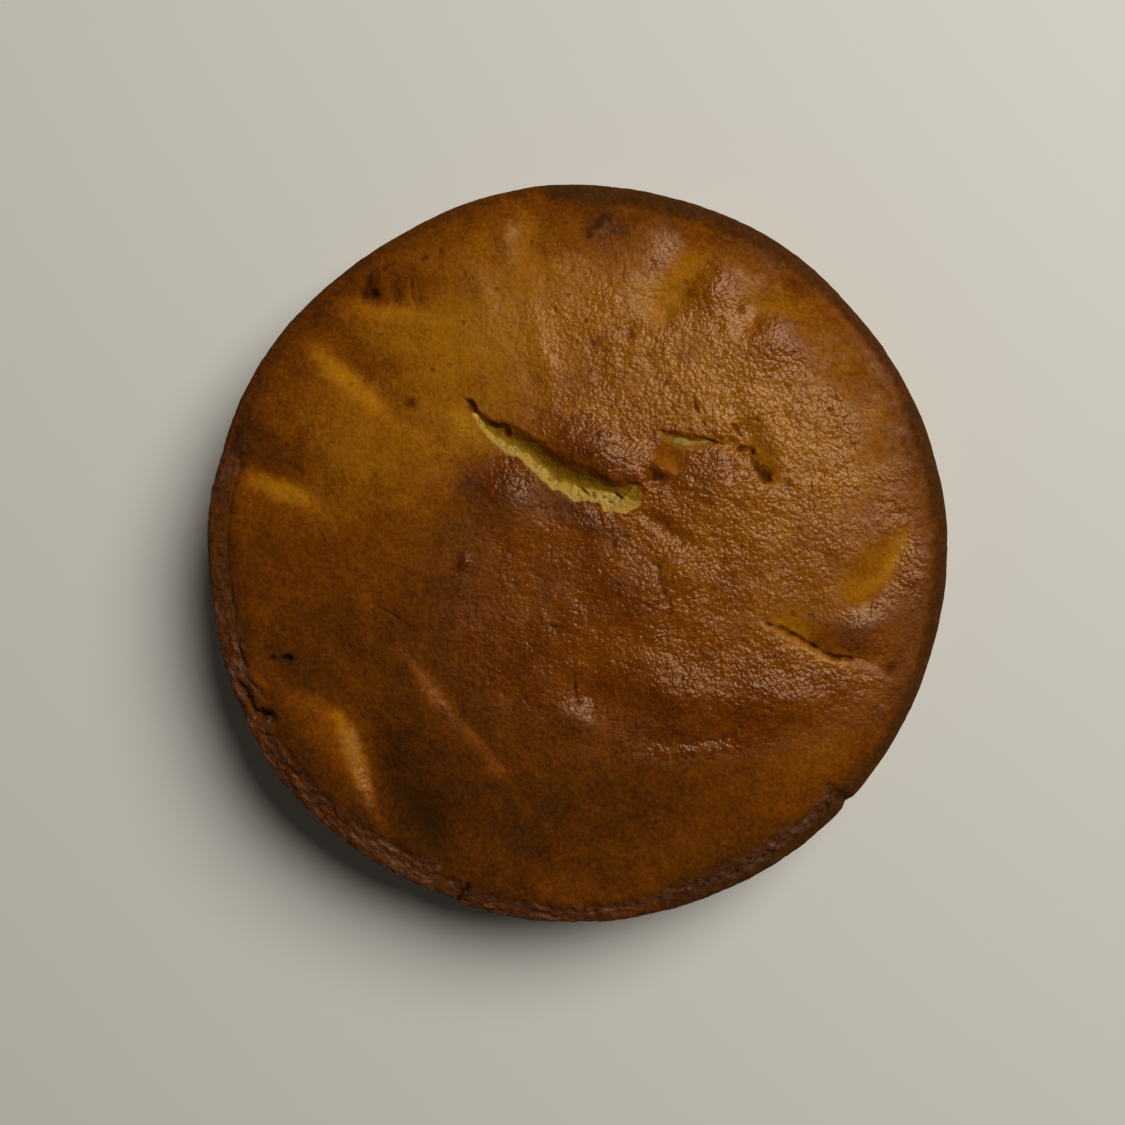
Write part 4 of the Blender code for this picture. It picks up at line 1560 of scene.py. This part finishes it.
@dataclass(frozen=True)
class SideFinish:
    """The side and base where the tin has browned the cake evenly: matt, with open pores painted darker as
    painted shade.
    """

    name: str = "browned_side"
    stops: tuple[tuple[float, Triple], ...] = (
        (0.0, srgb(156, 100, 30)),
        (0.45, srgb(126, 71, 19)),
        (0.75, srgb(94, 47, 13)),
        (1.0, srgb(62, 30, 11)),
    )
    pore_shade_colour: Triple = srgb(58, 28, 11)
    pore_share: float = 0.4
    pore_depth: float = 0.3
    cloud_tone: float = 0.5
    freckle_tone: float = 0.35
    specular: float = 0.2

    def make(self) -> bpy.types.Material:
        """Builds the material.

        Returns:
            The material.
        """
        bench = Bench(self.name)
        tone = bench.plus(bench.marked("browning"), bench.evened(11.0, 4.0), self.cloud_tone)
        tone = bench.plus(tone, bench.evened(1.6, 3.0), self.freckle_tone)
        # The pores are painted darker: painted shade in the little holes.
        pores = bench.rescale(bench.cells(2.0, bench.bent_place(1.2, 0.9)), 0.28, 0.08)
        pored = bench.times(pores, self.pore_share)
        colour = bench.mix(pored, bench.ramp(tone, self.stops), self.pore_shade_colour)
        grain = bench.plus(bench.times(bench.lumps(1.8, 3.0), 0.25), bench.lumps(0.5, 3.0), 0.12)
        bench.raise_by(bench.plus(grain, pores, -self.pore_depth))
        bench.coat(colour, bench.rescale(bench.lumps(3.0, 2.0), 0.3, 0.7, 0.55, 0.72), self.specular)
        return bench.material


@dataclass(frozen=True)
class Skin:
    """Fine relief of the skin: soft swells, and crinkles that grow with the wrinkling."""

    broad: Grain = Grain(19, 81, height=0.7)
    swells: Grain = Grain(7.5, 83, 3, 0.6)
    swell_least: float = 0.3
    swell_growth: float = 0.2
    crease_size: float = 4.6
    crease_seed: int = 85
    crease_level: float = 0.4
    crease_height: float = 0.14
    dimples: Grain = Grain(2.3, 87, 1, height=0.13)
    least: float = 0.3

    def lift(self, spots: np.ndarray, wrinkle: np.ndarray) -> np.ndarray:
        """How far the skin stands off the plain crust.

        Args:
            spots: places on the crust.
            wrinkle: how crinkled the skin is at each.

        Returns:
            Heights in millimetres.
        """
        swell = self.broad.over(spots)
        swell = swell + (self.swell_least + self.swell_growth * wrinkle) * self.swells.over(spots)
        creases = Noise.creased(spots, self.crease_size, self.crease_seed) - self.crease_level
        return swell + (self.least + wrinkle) * (self.crease_height * creases + self.dimples.over(spots))


@dataclass(frozen=True)
class RimWear:
    """The rim's dark band and the flakes where it is broken; a fade is a share of the band's width."""

    relief: Relief
    edge: tuple[Grain, Grain] = (Grain(8, 73, 4, 0.6, 1.8), Grain(1.8, 74, 1, height=0.5))
    band_fade: tuple[float, float] = (0.45, 1.1)
    flake_fade: float = 0.85
    rolled_flakes: float = 0.14
    rolled_from: tuple[float, float] = (-30.0, 0.0)
    smooth_from: tuple[float, float] = (-10.0, 30.0)
    smooth_share: float = 0.72
    smooth_width: tuple[float, float] = (2.5, 5.0)
    whole_at: float = 178.0
    whole_spread: float = 13.0
    whole_share: float = 0.65
    flakes: Flakes = Flakes(2.3, 89)
    flake_bend: float = 0.9
    raised: tuple[float, float] = (0.62, 0.85)
    raised_level: float = 0.35
    raised_fade: tuple[float, float] = (0.15, 0.7)
    flake_steps: float = 0.9
    gap_depth: float = 0.35
    gap_width: float = 0.22
    rough: Grain = Grain(2.4, 92, height=0.35)

    def worn(
        self, spots: np.ndarray, inset: np.ndarray, angle: np.ndarray, band: np.ndarray
    ) -> tuple[np.ndarray, np.ndarray, np.ndarray]:
        """Where the rim is dark and where it is flaky.

        Args:
            spots: places on the crust.
            inset: distances inside the outline.
            angle: angles round the cake.
            band: widths of the dark band.

        Returns:
            Uneven distances inside the outline, and shares of dark band and of flakes.
        """
        ragged = inset
        for grain in self.edge:
            ragged = ragged + grain.over(spots)
        on_band = 1 - ease_between(ragged, *(fade * band for fade in self.band_fade))
        rolled, ledge, crumbled = (self.relief.form_share(angle, form) for form in RimForm)
        rolled = self.rolled_flakes * rolled * ease_between(spots[:, 0], *self.rolled_from)
        broken = np.maximum(np.maximum(ledge, crumbled), rolled)
        flake = broken * (1 - ease_between(ragged, self.flake_fade * band, band))
        smooth = crumbled * ease_between(spots[:, 0], *self.smooth_from)
        flake *= 1 - self.smooth_share * smooth * (1 - ease_between(ragged, *self.smooth_width))
        flake *= 1 - self.whole_share * np.exp(-((angle_gap(angle, self.whole_at) / self.whole_spread) ** 2))
        return ragged, on_band, flake

    def flaked(
        self, spots: np.ndarray, inset: np.ndarray, angle: np.ndarray, band: np.ndarray, flake: np.ndarray
    ) -> tuple[np.ndarray, np.ndarray]:
        """The flakes themselves.

        Args:
            spots: places on the crust.
            inset: distances inside the outline.
            angle: angles round the cake.
            band: widths of the dark band.
            flake: how flaky the rim is.

        Returns:
            Shares of raised flakes, and heights in millimetres.
        """
        along_rim = np.column_stack((np.radians(angle % 360) * TIN_RADIUS / 2.0, inset))
        push = self.flake_bend * np.column_stack([Noise.smooth(spots, 3.0, seed) for seed in (90, 91)])
        level, gap = self.flakes.lie(along_rim + push)
        raised = ease_between(level, *self.raised) - self.raised_level
        raised = flake * raised * ease_between(inset, *(fade * band for fade in self.raised_fade))
        gaps = self.gap_depth * (1 - ease_between(gap, 0.0, self.gap_width))
        return raised, flake * (self.flake_steps * (level - 0.5) - gaps + self.rough.over(spots))


@dataclass
class TopCrust:
    """The whole upper crust with its rim, lapping a little down over the side."""

    relief: Relief
    bake: Bake
    middle: np.ndarray
    rings: int = 104
    shoulder_rows: int = 24
    skirt_rows: int = 6
    skirt: float = 5.5
    side_height: float = 38.0
    fine_reach: float = 2.6
    finer_reach: float = 1.2
    rim_furrow_depth: float = 0.35
    rim_furrow_width: float = 1.3
    rim_furrow_at: float = 0.9
    rim_furrow_changes: Grain = Grain(9, 70, height=1.6)
    broken_line: Grain = Grain(7, 71, 3, 0.6, 1.6)
    broken_changes: Grain = Grain(11, 72, height=0.3)
    clefts: Grain = Grain(17, 69, height=2.2)
    cleft_depth: float = 1.1
    cleft_at: float = 0.86
    cleft_width: float = 0.05
    true_edge: tuple[float, float] = (0.4, 2.0)
    # How much darker the burst's pits are painted: painted shade in the holes.
    pit_shade: float = 0.3
    shade_from: float = 0.6
    band_changes: Grain = Grain(4, 75, height=0.08)
    raised_paling: float = 0.03
    crumb_height: float = 0.55
    crumb_grain: Grain = Grain(2.4, 93, 3, 0.6)
    outward_share: float = 0.45
    wall_grain: Grain = Grain(3, 95, height=0.2)
    tuck: float = 0.35
    flake_gloss: float = 0.4
    profiles: dict[RimForm, tuple[tuple[float, ...], tuple[float, ...]]] = field(
        default_factory=lambda: {
            RimForm.LEDGE: (
                (0.0, 0.01, 0.04, 0.10, 0.20, 0.35, 0.55, 0.72, 0.84, 0.94, 1.04, 1.2),
                (4.5, 3.4, 2.5, 1.9, 1.5, 1.25, 1.1, 0.95, 0.7, 0.35, 0.12, 0.0),
            ),
            RimForm.CRUMBLED: (
                (0.0, 0.01, 0.04, 0.10, 0.20, 0.35, 0.50, 0.64, 0.78, 0.90, 1.04, 1.2),
                (4.5, 3.9, 3.4, 3.0, 2.6, 2.2, 1.9, 1.6, 1.2, 0.8, 0.3, 0.0),
            ),
        }
    )

    @property
    def inner(self) -> float:
        """Radius where the shoulder starts."""
        return TIN_RADIUS - self.relief.shoulder

    def stations(self) -> list[float]:
        """How far each ring of the flat sheet lies out, a unit for each row from the shoulder on."""
        top = [self.inner * ring / self.rings for ring in range(self.rings + 1)]
        return top + [self.inner + row + 1 for row in range(self.shoulder_rows + self.skirt_rows)]

    def sheet(self) -> bpy.types.Mesh:
        """The flat sheet, divided more finely along the cracks.

        Returns:
            The flat mesh.
        """
        flat, faces = MeshKit.wrapped_grid(self.stations())
        mesh = MeshKit.plain("top_crust", flat, faces)
        sheet = bmesh.new()
        sheet.from_mesh(mesh)
        openings = [opening.outline() for opening in (self.relief.burst, self.relief.window)]
        splits = [split.route for split in self.relief.splits]
        self.divide(sheet, [tuple(map(tuple, ring)) for ring in openings] + splits, self.fine_reach)
        self.divide(sheet, [tuple(map(tuple, ring)) for ring in openings], self.finer_reach)
        sheet.to_mesh(mesh)
        sheet.free()
        return mesh

    def divide(self, sheet: bmesh.types.BMesh, routes: list[Route], reach: float) -> None:
        """Divides the sheet's faces near any route and in the openings.

        Args:
            sheet: the flat sheet.
            routes: routes over the crust.
            reach: how near, in millimetres.
        """
        sheet.faces.ensure_lookup_table()
        middles = np.array([face.calc_center_median()[:2] for face in sheet.faces]) / MM
        near = np.zeros(len(middles), bool)
        for route in routes:
            low, high = np.min(route, axis=0) - reach, np.max(route, axis=0) + reach
            close = np.all((middles > low) & (middles < high), axis=1)
            distance, _ = Path(route, 1).beside(middles[close])
            near[np.flatnonzero(close)[np.abs(distance) < reach]] = True
        for opening in (self.relief.burst, self.relief.window):
            near |= opening.within(middles)
        near &= np.hypot(middles[:, 0], middles[:, 1]) < self.inner - reach
        edges = {edge for face, chosen in zip(sheet.faces, near) if chosen for edge in face.edges}
        bmesh.ops.subdivide_edges(sheet, edges=list(edges), cuts=1, use_grid_fill=True)

    def rim_drop(self, inset: np.ndarray, angle: np.ndarray, spots: np.ndarray) -> np.ndarray:
        """How far the rim falls below the dome's line.

        Args:
            inset: distances inside the outline.
            angle: angles round the cake.
            spots: places seen from above.

        Returns:
            Drops in height.
        """
        relief = self.relief
        share = 1 - np.clip(inset / relief.shoulder, 0.0, 1.0)
        rolled = relief.shoulder_drop * (1 - np.sqrt(np.maximum(1 - share**2, 0.0)))
        band, _, _ = relief.band(angle)
        off = (inset - self.rim_furrow_at * band) / self.rim_furrow_width
        furrow = self.rim_furrow_depth * np.exp(-(off**2)) * (1 + self.rim_furrow_changes.over(spots))
        drop = rolled + furrow * relief.form_share(angle, RimForm.ROLLED)
        for form, (at, fall) in self.profiles.items():
            ruled = relief.form_share(angle, form)
            wavy = inset + self.broken_line.over(spots)
            plain = np.interp(np.maximum(wavy, 0.0) / band, at, fall) * (1 + self.broken_changes.over(spots))
            if form is RimForm.LEDGE:
                cleft = np.clip(0.5 + self.clefts.over(spots), 0.0, 1.3)
                off = (wavy / band - self.cleft_at) / self.cleft_width
                plain += self.cleft_depth * cleft * np.exp(-(off**2))
            edge = np.maximum(np.interp(inset / band, at, fall), plain)
            near_edge = 1 - ease_between(inset, *self.true_edge)
            drop = drop * (1 - ruled) + ruled * (plain * (1 - near_edge) + edge * near_edge)
        return drop

    def placed(self, flat: np.ndarray) -> dict[str, np.ndarray]:
        """Real places of the flat sheet's points, with what the material reads.

        Args:
            flat: places on the flat sheet.

        Returns:
            The places and the numbers kept for the material, by name.
        """
        relief = self.relief
        reach = np.hypot(flat[:, 0], flat[:, 1])
        angle = np.degrees(np.arctan2(flat[:, 1], flat[:, 0]))
        direction = flat / np.maximum(reach, 1e-9)[:, None]
        over = np.clip((reach - self.inner) / self.shoulder_rows, 0.0, 1.0)
        down = np.clip((reach - self.inner - self.shoulder_rows) / self.skirt_rows, 0.0, 1.0)
        torn = np.clip(relief.torn_depth * over + down * self.skirt / self.side_height, 0.0, 1.0)
        outline = relief.outline(angle, torn)
        crisp = relief.outline(angle, np.zeros(len(angle)))
        held = np.minimum(reach, self.inner)
        stretched = held * (1 + (crisp / TIN_RADIUS - 1) * (held / self.inner) ** 3)
        start = self.inner * crisp / TIN_RADIUS
        rounded = start + (outline - start) * np.sin(over * math.pi / 2)
        radius = np.where(reach <= self.inner, stretched, rounded)
        spots = direction * radius[:, None]

        height, tone = relief.crust(direction * np.minimum(radius, outline - 1.0)[:, None])
        inset = np.maximum(outline - radius, 0.0)
        height -= self.rim_drop(inset, angle, spots)
        height -= self.skirt * down

        crumb, in_shade = np.zeros(len(spots)), np.zeros(len(spots))
        shift = np.zeros((len(spots), 2))
        for opening in (relief.burst, relief.window):
            fall, move, torn, shaded, pitted = opening.shape(spots)
            height -= fall
            shift += move
            # The share of torn crumb painted in its shade colour.
            in_shade = np.where(torn > crumb, shaded, in_shade)
            crumb = np.maximum(crumb, torn)
            # The burst's pits are painted darker: painted shade in the holes.
            tone = tone + self.pit_shade * pitted

        band, rim_brown, rim_shade = relief.band(angle)
        wear = RimWear(relief)
        ragged, on_band, flake = wear.worn(spots, inset, angle, band)
        wrinkle = self.bake.wrinkled(spots) * (1 - on_band) * (1 - crumb)
        # This browning holds painted shade from the cracks and pits, and on the side away from the light.
        brown = self.bake.browned(spots) + tone
        inside_band = np.maximum(ragged - self.shade_from * band, 0.0)
        brown += rim_shade * np.exp(-((inside_band / relief.shade_reach) ** 2))
        brown = brown * (1 - on_band) + (rim_brown + self.band_changes.over(spots)) * on_band

        raised, flaky = wear.flaked(spots, inset, angle, band, flake)
        brown = brown - self.raised_paling * raised
        lift = Skin().lift(spots, wrinkle) * (1 - crumb) + flaky
        lift = lift + crumb * self.crumb_height * self.crumb_grain.over(spots)
        tilt = over**2 * (math.pi / 2)
        outward = self.outward_share * lift * np.sin(tilt)
        places = np.column_stack((spots + shift + direction * outward[:, None], height + lift * np.cos(tilt)))
        side_lift = self.wall_grain.over(places) * over
        places[:, :2] += direction * (side_lift - self.tuck * down**3)[:, None]
        gloss = self.bake.glossed(spots) * (1 - crumb) * (1 - on_band) * (1 - np.clip(2 * tone, 0.0, 1.0))
        gloss = gloss + self.flake_gloss * flake
        marks = {"browning": brown, "wrinkle": wrinkle, "crumb": crumb, "in_shade": in_shade}
        return {"places": places, **marks, "gloss": gloss, "flake": flake}

    def build(self) -> bpy.types.Object:
        """Makes the crust.

        Returns:
            The piece.
        """
        mesh = self.sheet()
        made = self.placed(MeshKit.places(mesh)[:, :2])
        MeshKit.lay(mesh, made.pop("places") - self.middle)
        for name, values in made.items():
            MeshKit.mark(mesh, name, values)
        return MeshKit.shown("top_crust", mesh, CrustFinish().make())


@dataclass
class SideCrust:
    """The side that stood against the tin, with the flat base."""

    relief: Relief
    middle: np.ndarray
    around: int = 720
    rows: int = 44
    base_rings: int = 22
    tucked: float = 4.0
    foot_radius: float = 128.6
    foot_rounding: float = 1.4
    foot_rows: int = 4
    foot_torn: float = 0.4
    inset: float = 0.35
    bumps: tuple[Grain, Grain] = (Grain(9, 101, height=0.30), Grain(2.4, 103, height=0.16))
    base_hollow: float = 0.18
    base_changes: Grain = Grain(7, 105, height=0.8)
    plain_brown: float = 0.45
    top_brown: float = 0.4
    top_from: tuple[float, float] = (16.0, 38.0)
    foot_brown: float = 0.2
    foot_to: float = 7.0
    brown_changes: Grain = Grain(22, 107, height=0.08)

    def build(self) -> bpy.types.Object:
        """Makes the side and base.

        Returns:
            The piece.
        """
        relief = self.relief
        angle = np.linspace(0.0, 360.0, self.around, endpoint=False)
        direction = np.column_stack((np.cos(np.radians(angle)), np.sin(np.radians(angle))))
        inner = TIN_RADIUS - relief.shoulder
        rim, _ = relief.crust(direction * inner)
        top = rim - relief.shoulder_drop - self.tucked
        loops = []
        for row in range(self.rows + 1):
            share = row / self.rows
            down = np.full(len(angle), relief.torn_depth + self.foot_torn * share)
            radius = relief.outline(angle, down) - self.inset + (self.foot_radius - TIN_RADIUS) * share
            z = top + (self.foot_rounding - top) * share
            loops.append(np.column_stack((direction * radius[:, None], z)))
        foot = loops[-1]
        for step in range(1, self.foot_rows + 1):
            turn = step / self.foot_rows * math.pi / 2
            edge = foot.copy()
            edge[:, :2] -= direction * (self.foot_rounding * (1 - math.cos(turn)))
            edge[:, 2] = self.foot_rounding * (1 - math.sin(turn))
            loops.append(edge)
        last = loops[-1]
        for ring in range(1, self.base_rings + 1):
            disc = last.copy()
            disc[:, :2] *= 1 - ring / (self.base_rings + 0.5)
            loops.append(disc)
        places = np.vstack(loops)
        on_side = np.clip(places[:, 2] / self.foot_rounding - 1, 0.0, 1.0)
        ring_out = np.hypot(places[:, 0], places[:, 1])
        outward = places[:, :2] / ring_out[:, None]
        bumps = sum(grain.over(places) for grain in self.bumps)
        places[:, :2] += outward * (bumps * on_side)[:, None]
        hollow = self.base_hollow * (1 - on_side) * ease_between(self.foot_radius - 4 - ring_out, 0.0, 8.0)
        places[:, 2] += hollow * (1 + self.base_changes.over(places))
        faces = MeshKit.tube_grid(len(loops), self.around)
        faces.append(list(range(len(places) - self.around, len(places))))
        mesh = MeshKit.plain("side_crust", places - self.middle, faces)
        brown = self.plain_brown + self.top_brown * ease_between(places[:, 2], *self.top_from)
        brown = brown + self.foot_brown * (1 - ease_between(places[:, 2], 0.0, self.foot_to))
        MeshKit.mark(mesh, "browning", brown + self.brown_changes.over(places))
        return MeshKit.shown("side_crust", mesh, SideFinish().make())


@dataclass
class TornCrumb:
    """Nubs of torn crumb along the burst, joined into one rough body."""

    relief: Relief
    middle: np.ndarray
    count: int = 70
    seed: int = 5
    along: tuple[float, float] = (0.08, 0.86)
    across: tuple[float, float] = (0.06, 0.28)
    radii: tuple[float, float] = (0.6, 1.3)
    least_torn: float = 0.5
    sunk: float = 0.6
    rough: float = 0.5
    flattened: Triple = (1.0, 1.0, 0.8)
    surface: Grain = Grain(1.3, 113, 3, 0.6, 0.22)
    voxel: float = 0.3
    lumps: tuple[tuple[float, float, float, float], ...] = (
        (6.6, 19.4, -2.2, 1.7),
        (9.2, 19.2, -2.3, 1.8),
        (11.8, 18.4, -2.3, 1.9),
        (10.2, 15.9, -2.1, 1.6),
        (13.6, 16.2, -2.1, 1.7),
        (15.4, 14.9, -1.9, 1.2),
        (17.2, 17.9, -2.0, 1.5),
        (19.0, 17.0, -1.9, 1.6),
        (20.4, 16.2, -1.8, 1.1),
    )

    def nubs(self) -> list[tuple[np.ndarray, float]]:
        """Centres and radii of the nubs.

        Returns:
            One pair for each nub.
        """
        rng = np.random.default_rng(self.seed)
        near = Path(self.relief.burst.near_edge).curve()
        far = Path(self.relief.burst.far_edge).curve()
        found = []
        for _ in range(self.count):
            along = rng.uniform(*self.along)
            across = rng.uniform(*self.across)
            start = near[int(along * (len(near) - 1))]
            end = far[int(along * (len(far) - 1))]
            spot = start + (end - start) * across
            fall, _, torn, _, _ = self.relief.burst.shape(spot[None, :])
            if torn[0] < self.least_torn:
                continue
            height, _ = self.relief.crust(spot[None, :])
            radius = rng.uniform(*self.radii)
            found.append((np.array((*spot, height[0] - fall[0] - self.sunk * radius)), radius))
        for x, y, rise, radius in self.lumps:
            height, _ = self.relief.crust(np.array(((x, y),)))
            found.append((np.array((x, y, height[0] + rise)), radius))
        return found

    def build(self) -> bpy.types.Object:
        """Makes the crumb.

        Returns:
            The piece.
        """
        body = bmesh.new()
        for seed, (centre, radius) in enumerate(self.nubs()):
            made = bmesh.ops.create_icosphere(body, subdivisions=3, radius=radius)
            places = np.array([vert.co for vert in made["verts"]])
            rough = 1 + self.rough * Noise.layered(places + 7.0 * seed, 1.1 * radius, 111)
            for vert, place, swell in zip(made["verts"], places, rough):
                vert.co = Vector((place * swell * self.flattened + centre - self.middle) * MM)
        mesh = bpy.data.meshes.new("burst_crumb")
        body.to_mesh(mesh)
        body.free()
        thing = MeshKit.shown("burst_crumb", mesh, CrumbFinish().make())
        remesh = thing.modifiers.new("join", "REMESH")
        remesh.mode = "VOXEL"
        remesh.voxel_size = self.voxel * MM
        graph = bpy.context.evaluated_depsgraph_get()
        joined = bpy.data.meshes.new_from_object(thing.evaluated_get(graph))
        thing.modifiers.clear()
        thing.data = joined
        places = MeshKit.places(joined)
        normals = np.zeros(3 * len(places))
        joined.vertices.foreach_get("normal", normals)
        rough = self.surface.over(places)
        MeshKit.lay(joined, places + normals.reshape(-1, 3) * rough[:, None])
        joined.shade_smooth()
        return thing


@dataclass
class WedgeFlesh:
    """The end of an apple wedge that shows under the crust's lip."""

    relief: Relief
    middle: np.ndarray
    half_length: float = 9.0
    half_width: float = 3.6
    turn: float = -9.0
    depth: float = 6.0
    sunk: float = 0.95
    swing: float = 0.62
    narrowing: float = 0.2
    drop_power: float = 1.4
    drop_share: float = 0.8
    slope: float = 0.22
    surface: Grain = Grain(2.6, 121, 3, 0.6, 0.5)
    rows: int = 40
    around: int = 96

    def build(self) -> bpy.types.Object:
        """Makes the wedge's end.

        Returns:
            The piece.
        """
        turn = math.radians(self.turn)
        height, _ = self.relief.crust(np.array((WEDGE_AT,)))
        top = height[0] - self.sunk
        loops = []
        for row in range(1, self.rows + 1):
            swing = row / self.rows * math.pi * self.swing
            size = math.sin(min(swing, math.pi / 2)) * (1 - self.narrowing * max(0.0, swing - math.pi / 2))
            drop = self.depth * (1 - math.cos(swing)) ** self.drop_power * self.drop_share
            ring = np.linspace(0.0, 2 * math.pi, self.around, endpoint=False)
            x = size * self.half_length * np.cos(ring)
            y = size * self.half_width * np.sin(ring)
            turned_x = x * math.cos(turn) - y * math.sin(turn)
            turned_y = x * math.sin(turn) + y * math.cos(turn)
            spot = np.column_stack((turned_x, turned_y)) + np.array(WEDGE_AT)
            loops.append(np.column_stack((spot, top - drop - self.slope * y)))
        places = np.vstack(loops)
        places[:, 2] += self.surface.over(places)
        faces = MeshKit.tube_grid(len(loops), self.around)
        faces.append(list(range(self.around))[::-1])
        faces.append(list(range(len(places) - self.around, len(places))))
        mesh = MeshKit.plain("wedge_flesh", places - self.middle, faces)
        MeshKit.mark(mesh, "reach", np.repeat(np.arange(1, self.rows + 1) / self.rows, self.around))
        return MeshKit.shown("wedge_flesh", mesh, AppleFinish().make())


@dataclass
class Studio:
    """A plain pale floor, one large soft light and an overhead camera."""

    middle: np.ndarray
    camera_at: Triple = (-5.3, -3.5, 485.0)
    lens: float = 40.51
    sensor: float = 36.0
    light_azimuth: float = 42.0
    light_elevation: float = 50.0
    light_distance: float = 2.1
    light_size: float = 1.48
    light_power: float = 50.0
    ambient: float = 0.045
    floor_size: float = 3.0
    floor_colour: Triple = srgb(208, 203, 191)
    floor_roughness: float = 0.9
    floor_specular: float = 0.2
    ambient_colour: Triple = (1.0, 0.98, 0.95)

    def floor(self) -> None:
        """Lays the floor."""
        bench = Bench("pale_floor")
        bench.coat(self.floor_colour, self.floor_roughness, self.floor_specular)
        half = self.floor_size / 2
        mesh = bpy.data.meshes.new("floor")
        corners = [(-half, -half, 0), (half, -half, 0), (half, half, 0), (-half, half, 0)]
        mesh.from_pydata(corners, [], [(0, 1, 2, 3)])
        mesh.materials.append(bench.material)
        plane = bpy.data.objects.new("floor", mesh)
        bpy.context.scene.collection.objects.link(plane)

    def light(self) -> None:
        """Hangs the soft light and sets the dim surroundings."""
        lamp = bpy.data.lights.new("softbox", "AREA")
        lamp.shape = "DISK"
        lamp.size = self.light_size
        lamp.energy = self.light_power
        thing = bpy.data.objects.new("softbox", lamp)
        around = math.radians(self.light_azimuth)
        up = math.radians(self.light_elevation)
        level = math.cos(up)
        way = Vector((level * math.cos(around), level * math.sin(around), math.sin(up)))
        thing.location = way * self.light_distance
        thing.rotation_euler = way.to_track_quat("Z", "Y").to_euler()
        bpy.context.scene.collection.objects.link(thing)
        world = bpy.data.worlds.new("surroundings")
        world.use_nodes = True
        sky = world.node_tree.nodes["Background"]
        sky.inputs["Color"].default_value = (*self.ambient_colour, 1.0)
        sky.inputs["Strength"].default_value = self.ambient
        bpy.context.scene.world = world

    def camera(self) -> None:
        """Hangs the camera over the cake."""
        data = bpy.data.cameras.new("overhead")
        data.sensor_width = self.sensor
        data.lens = self.lens
        thing = bpy.data.objects.new("overhead", data)
        thing.location = Vector((np.array(self.camera_at) - self.middle) * MM)
        bpy.context.scene.collection.objects.link(thing)
        bpy.context.scene.camera = thing

    def build(self) -> None:
        """Sets up floor, light and camera."""
        self.floor()
        self.light()
        self.camera()
        view = bpy.context.scene.view_settings
        view.view_transform = "Standard"
        view.look = "None"


def tin_middle(relief: Relief) -> np.ndarray:
    """Where the middle of the cake's box lies in the tin's coordinates.

    Args:
        relief: the cake's relief.

    Returns:
        The place, with no height.
    """
    angle = np.linspace(0.0, 360.0, 3600, endpoint=False)
    radius = relief.outline(angle, np.full(len(angle), relief.torn_depth))
    x, y = radius * np.cos(np.radians(angle)), radius * np.sin(np.radians(angle))
    return np.array(((x.max() + x.min()) / 2, (y.max() + y.min()) / 2, 0.0))


def main() -> None:
    """Builds the cake and the studio."""
    logging.basicConfig(level=logging.INFO, format="%(message)s")
    relief = Relief()
    middle = tin_middle(relief)
    pieces = (
        (TopCrust(relief, Bake(), middle), Slot.CRUST, ("cake",)),
        (SideCrust(relief, middle), Slot.CRUST, ("cake",)),
        (TornCrumb(relief, middle), Slot.CRUMB, ()),
        (WedgeFlesh(relief, middle), Slot.APPLE, ("apple_wedge",)),
    )
    for maker, slot, nodes in pieces:
        piece = maker.build()
        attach(piece, "root")
        if nodes:
            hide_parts(*nodes)
        triangles = sum(len(face.vertices) - 2 for face in piece.data.polygons)
        LOG.info("%s: %d triangles", piece.name, triangles)
    Studio(middle).build()


if __name__ == "__main__":
    main()
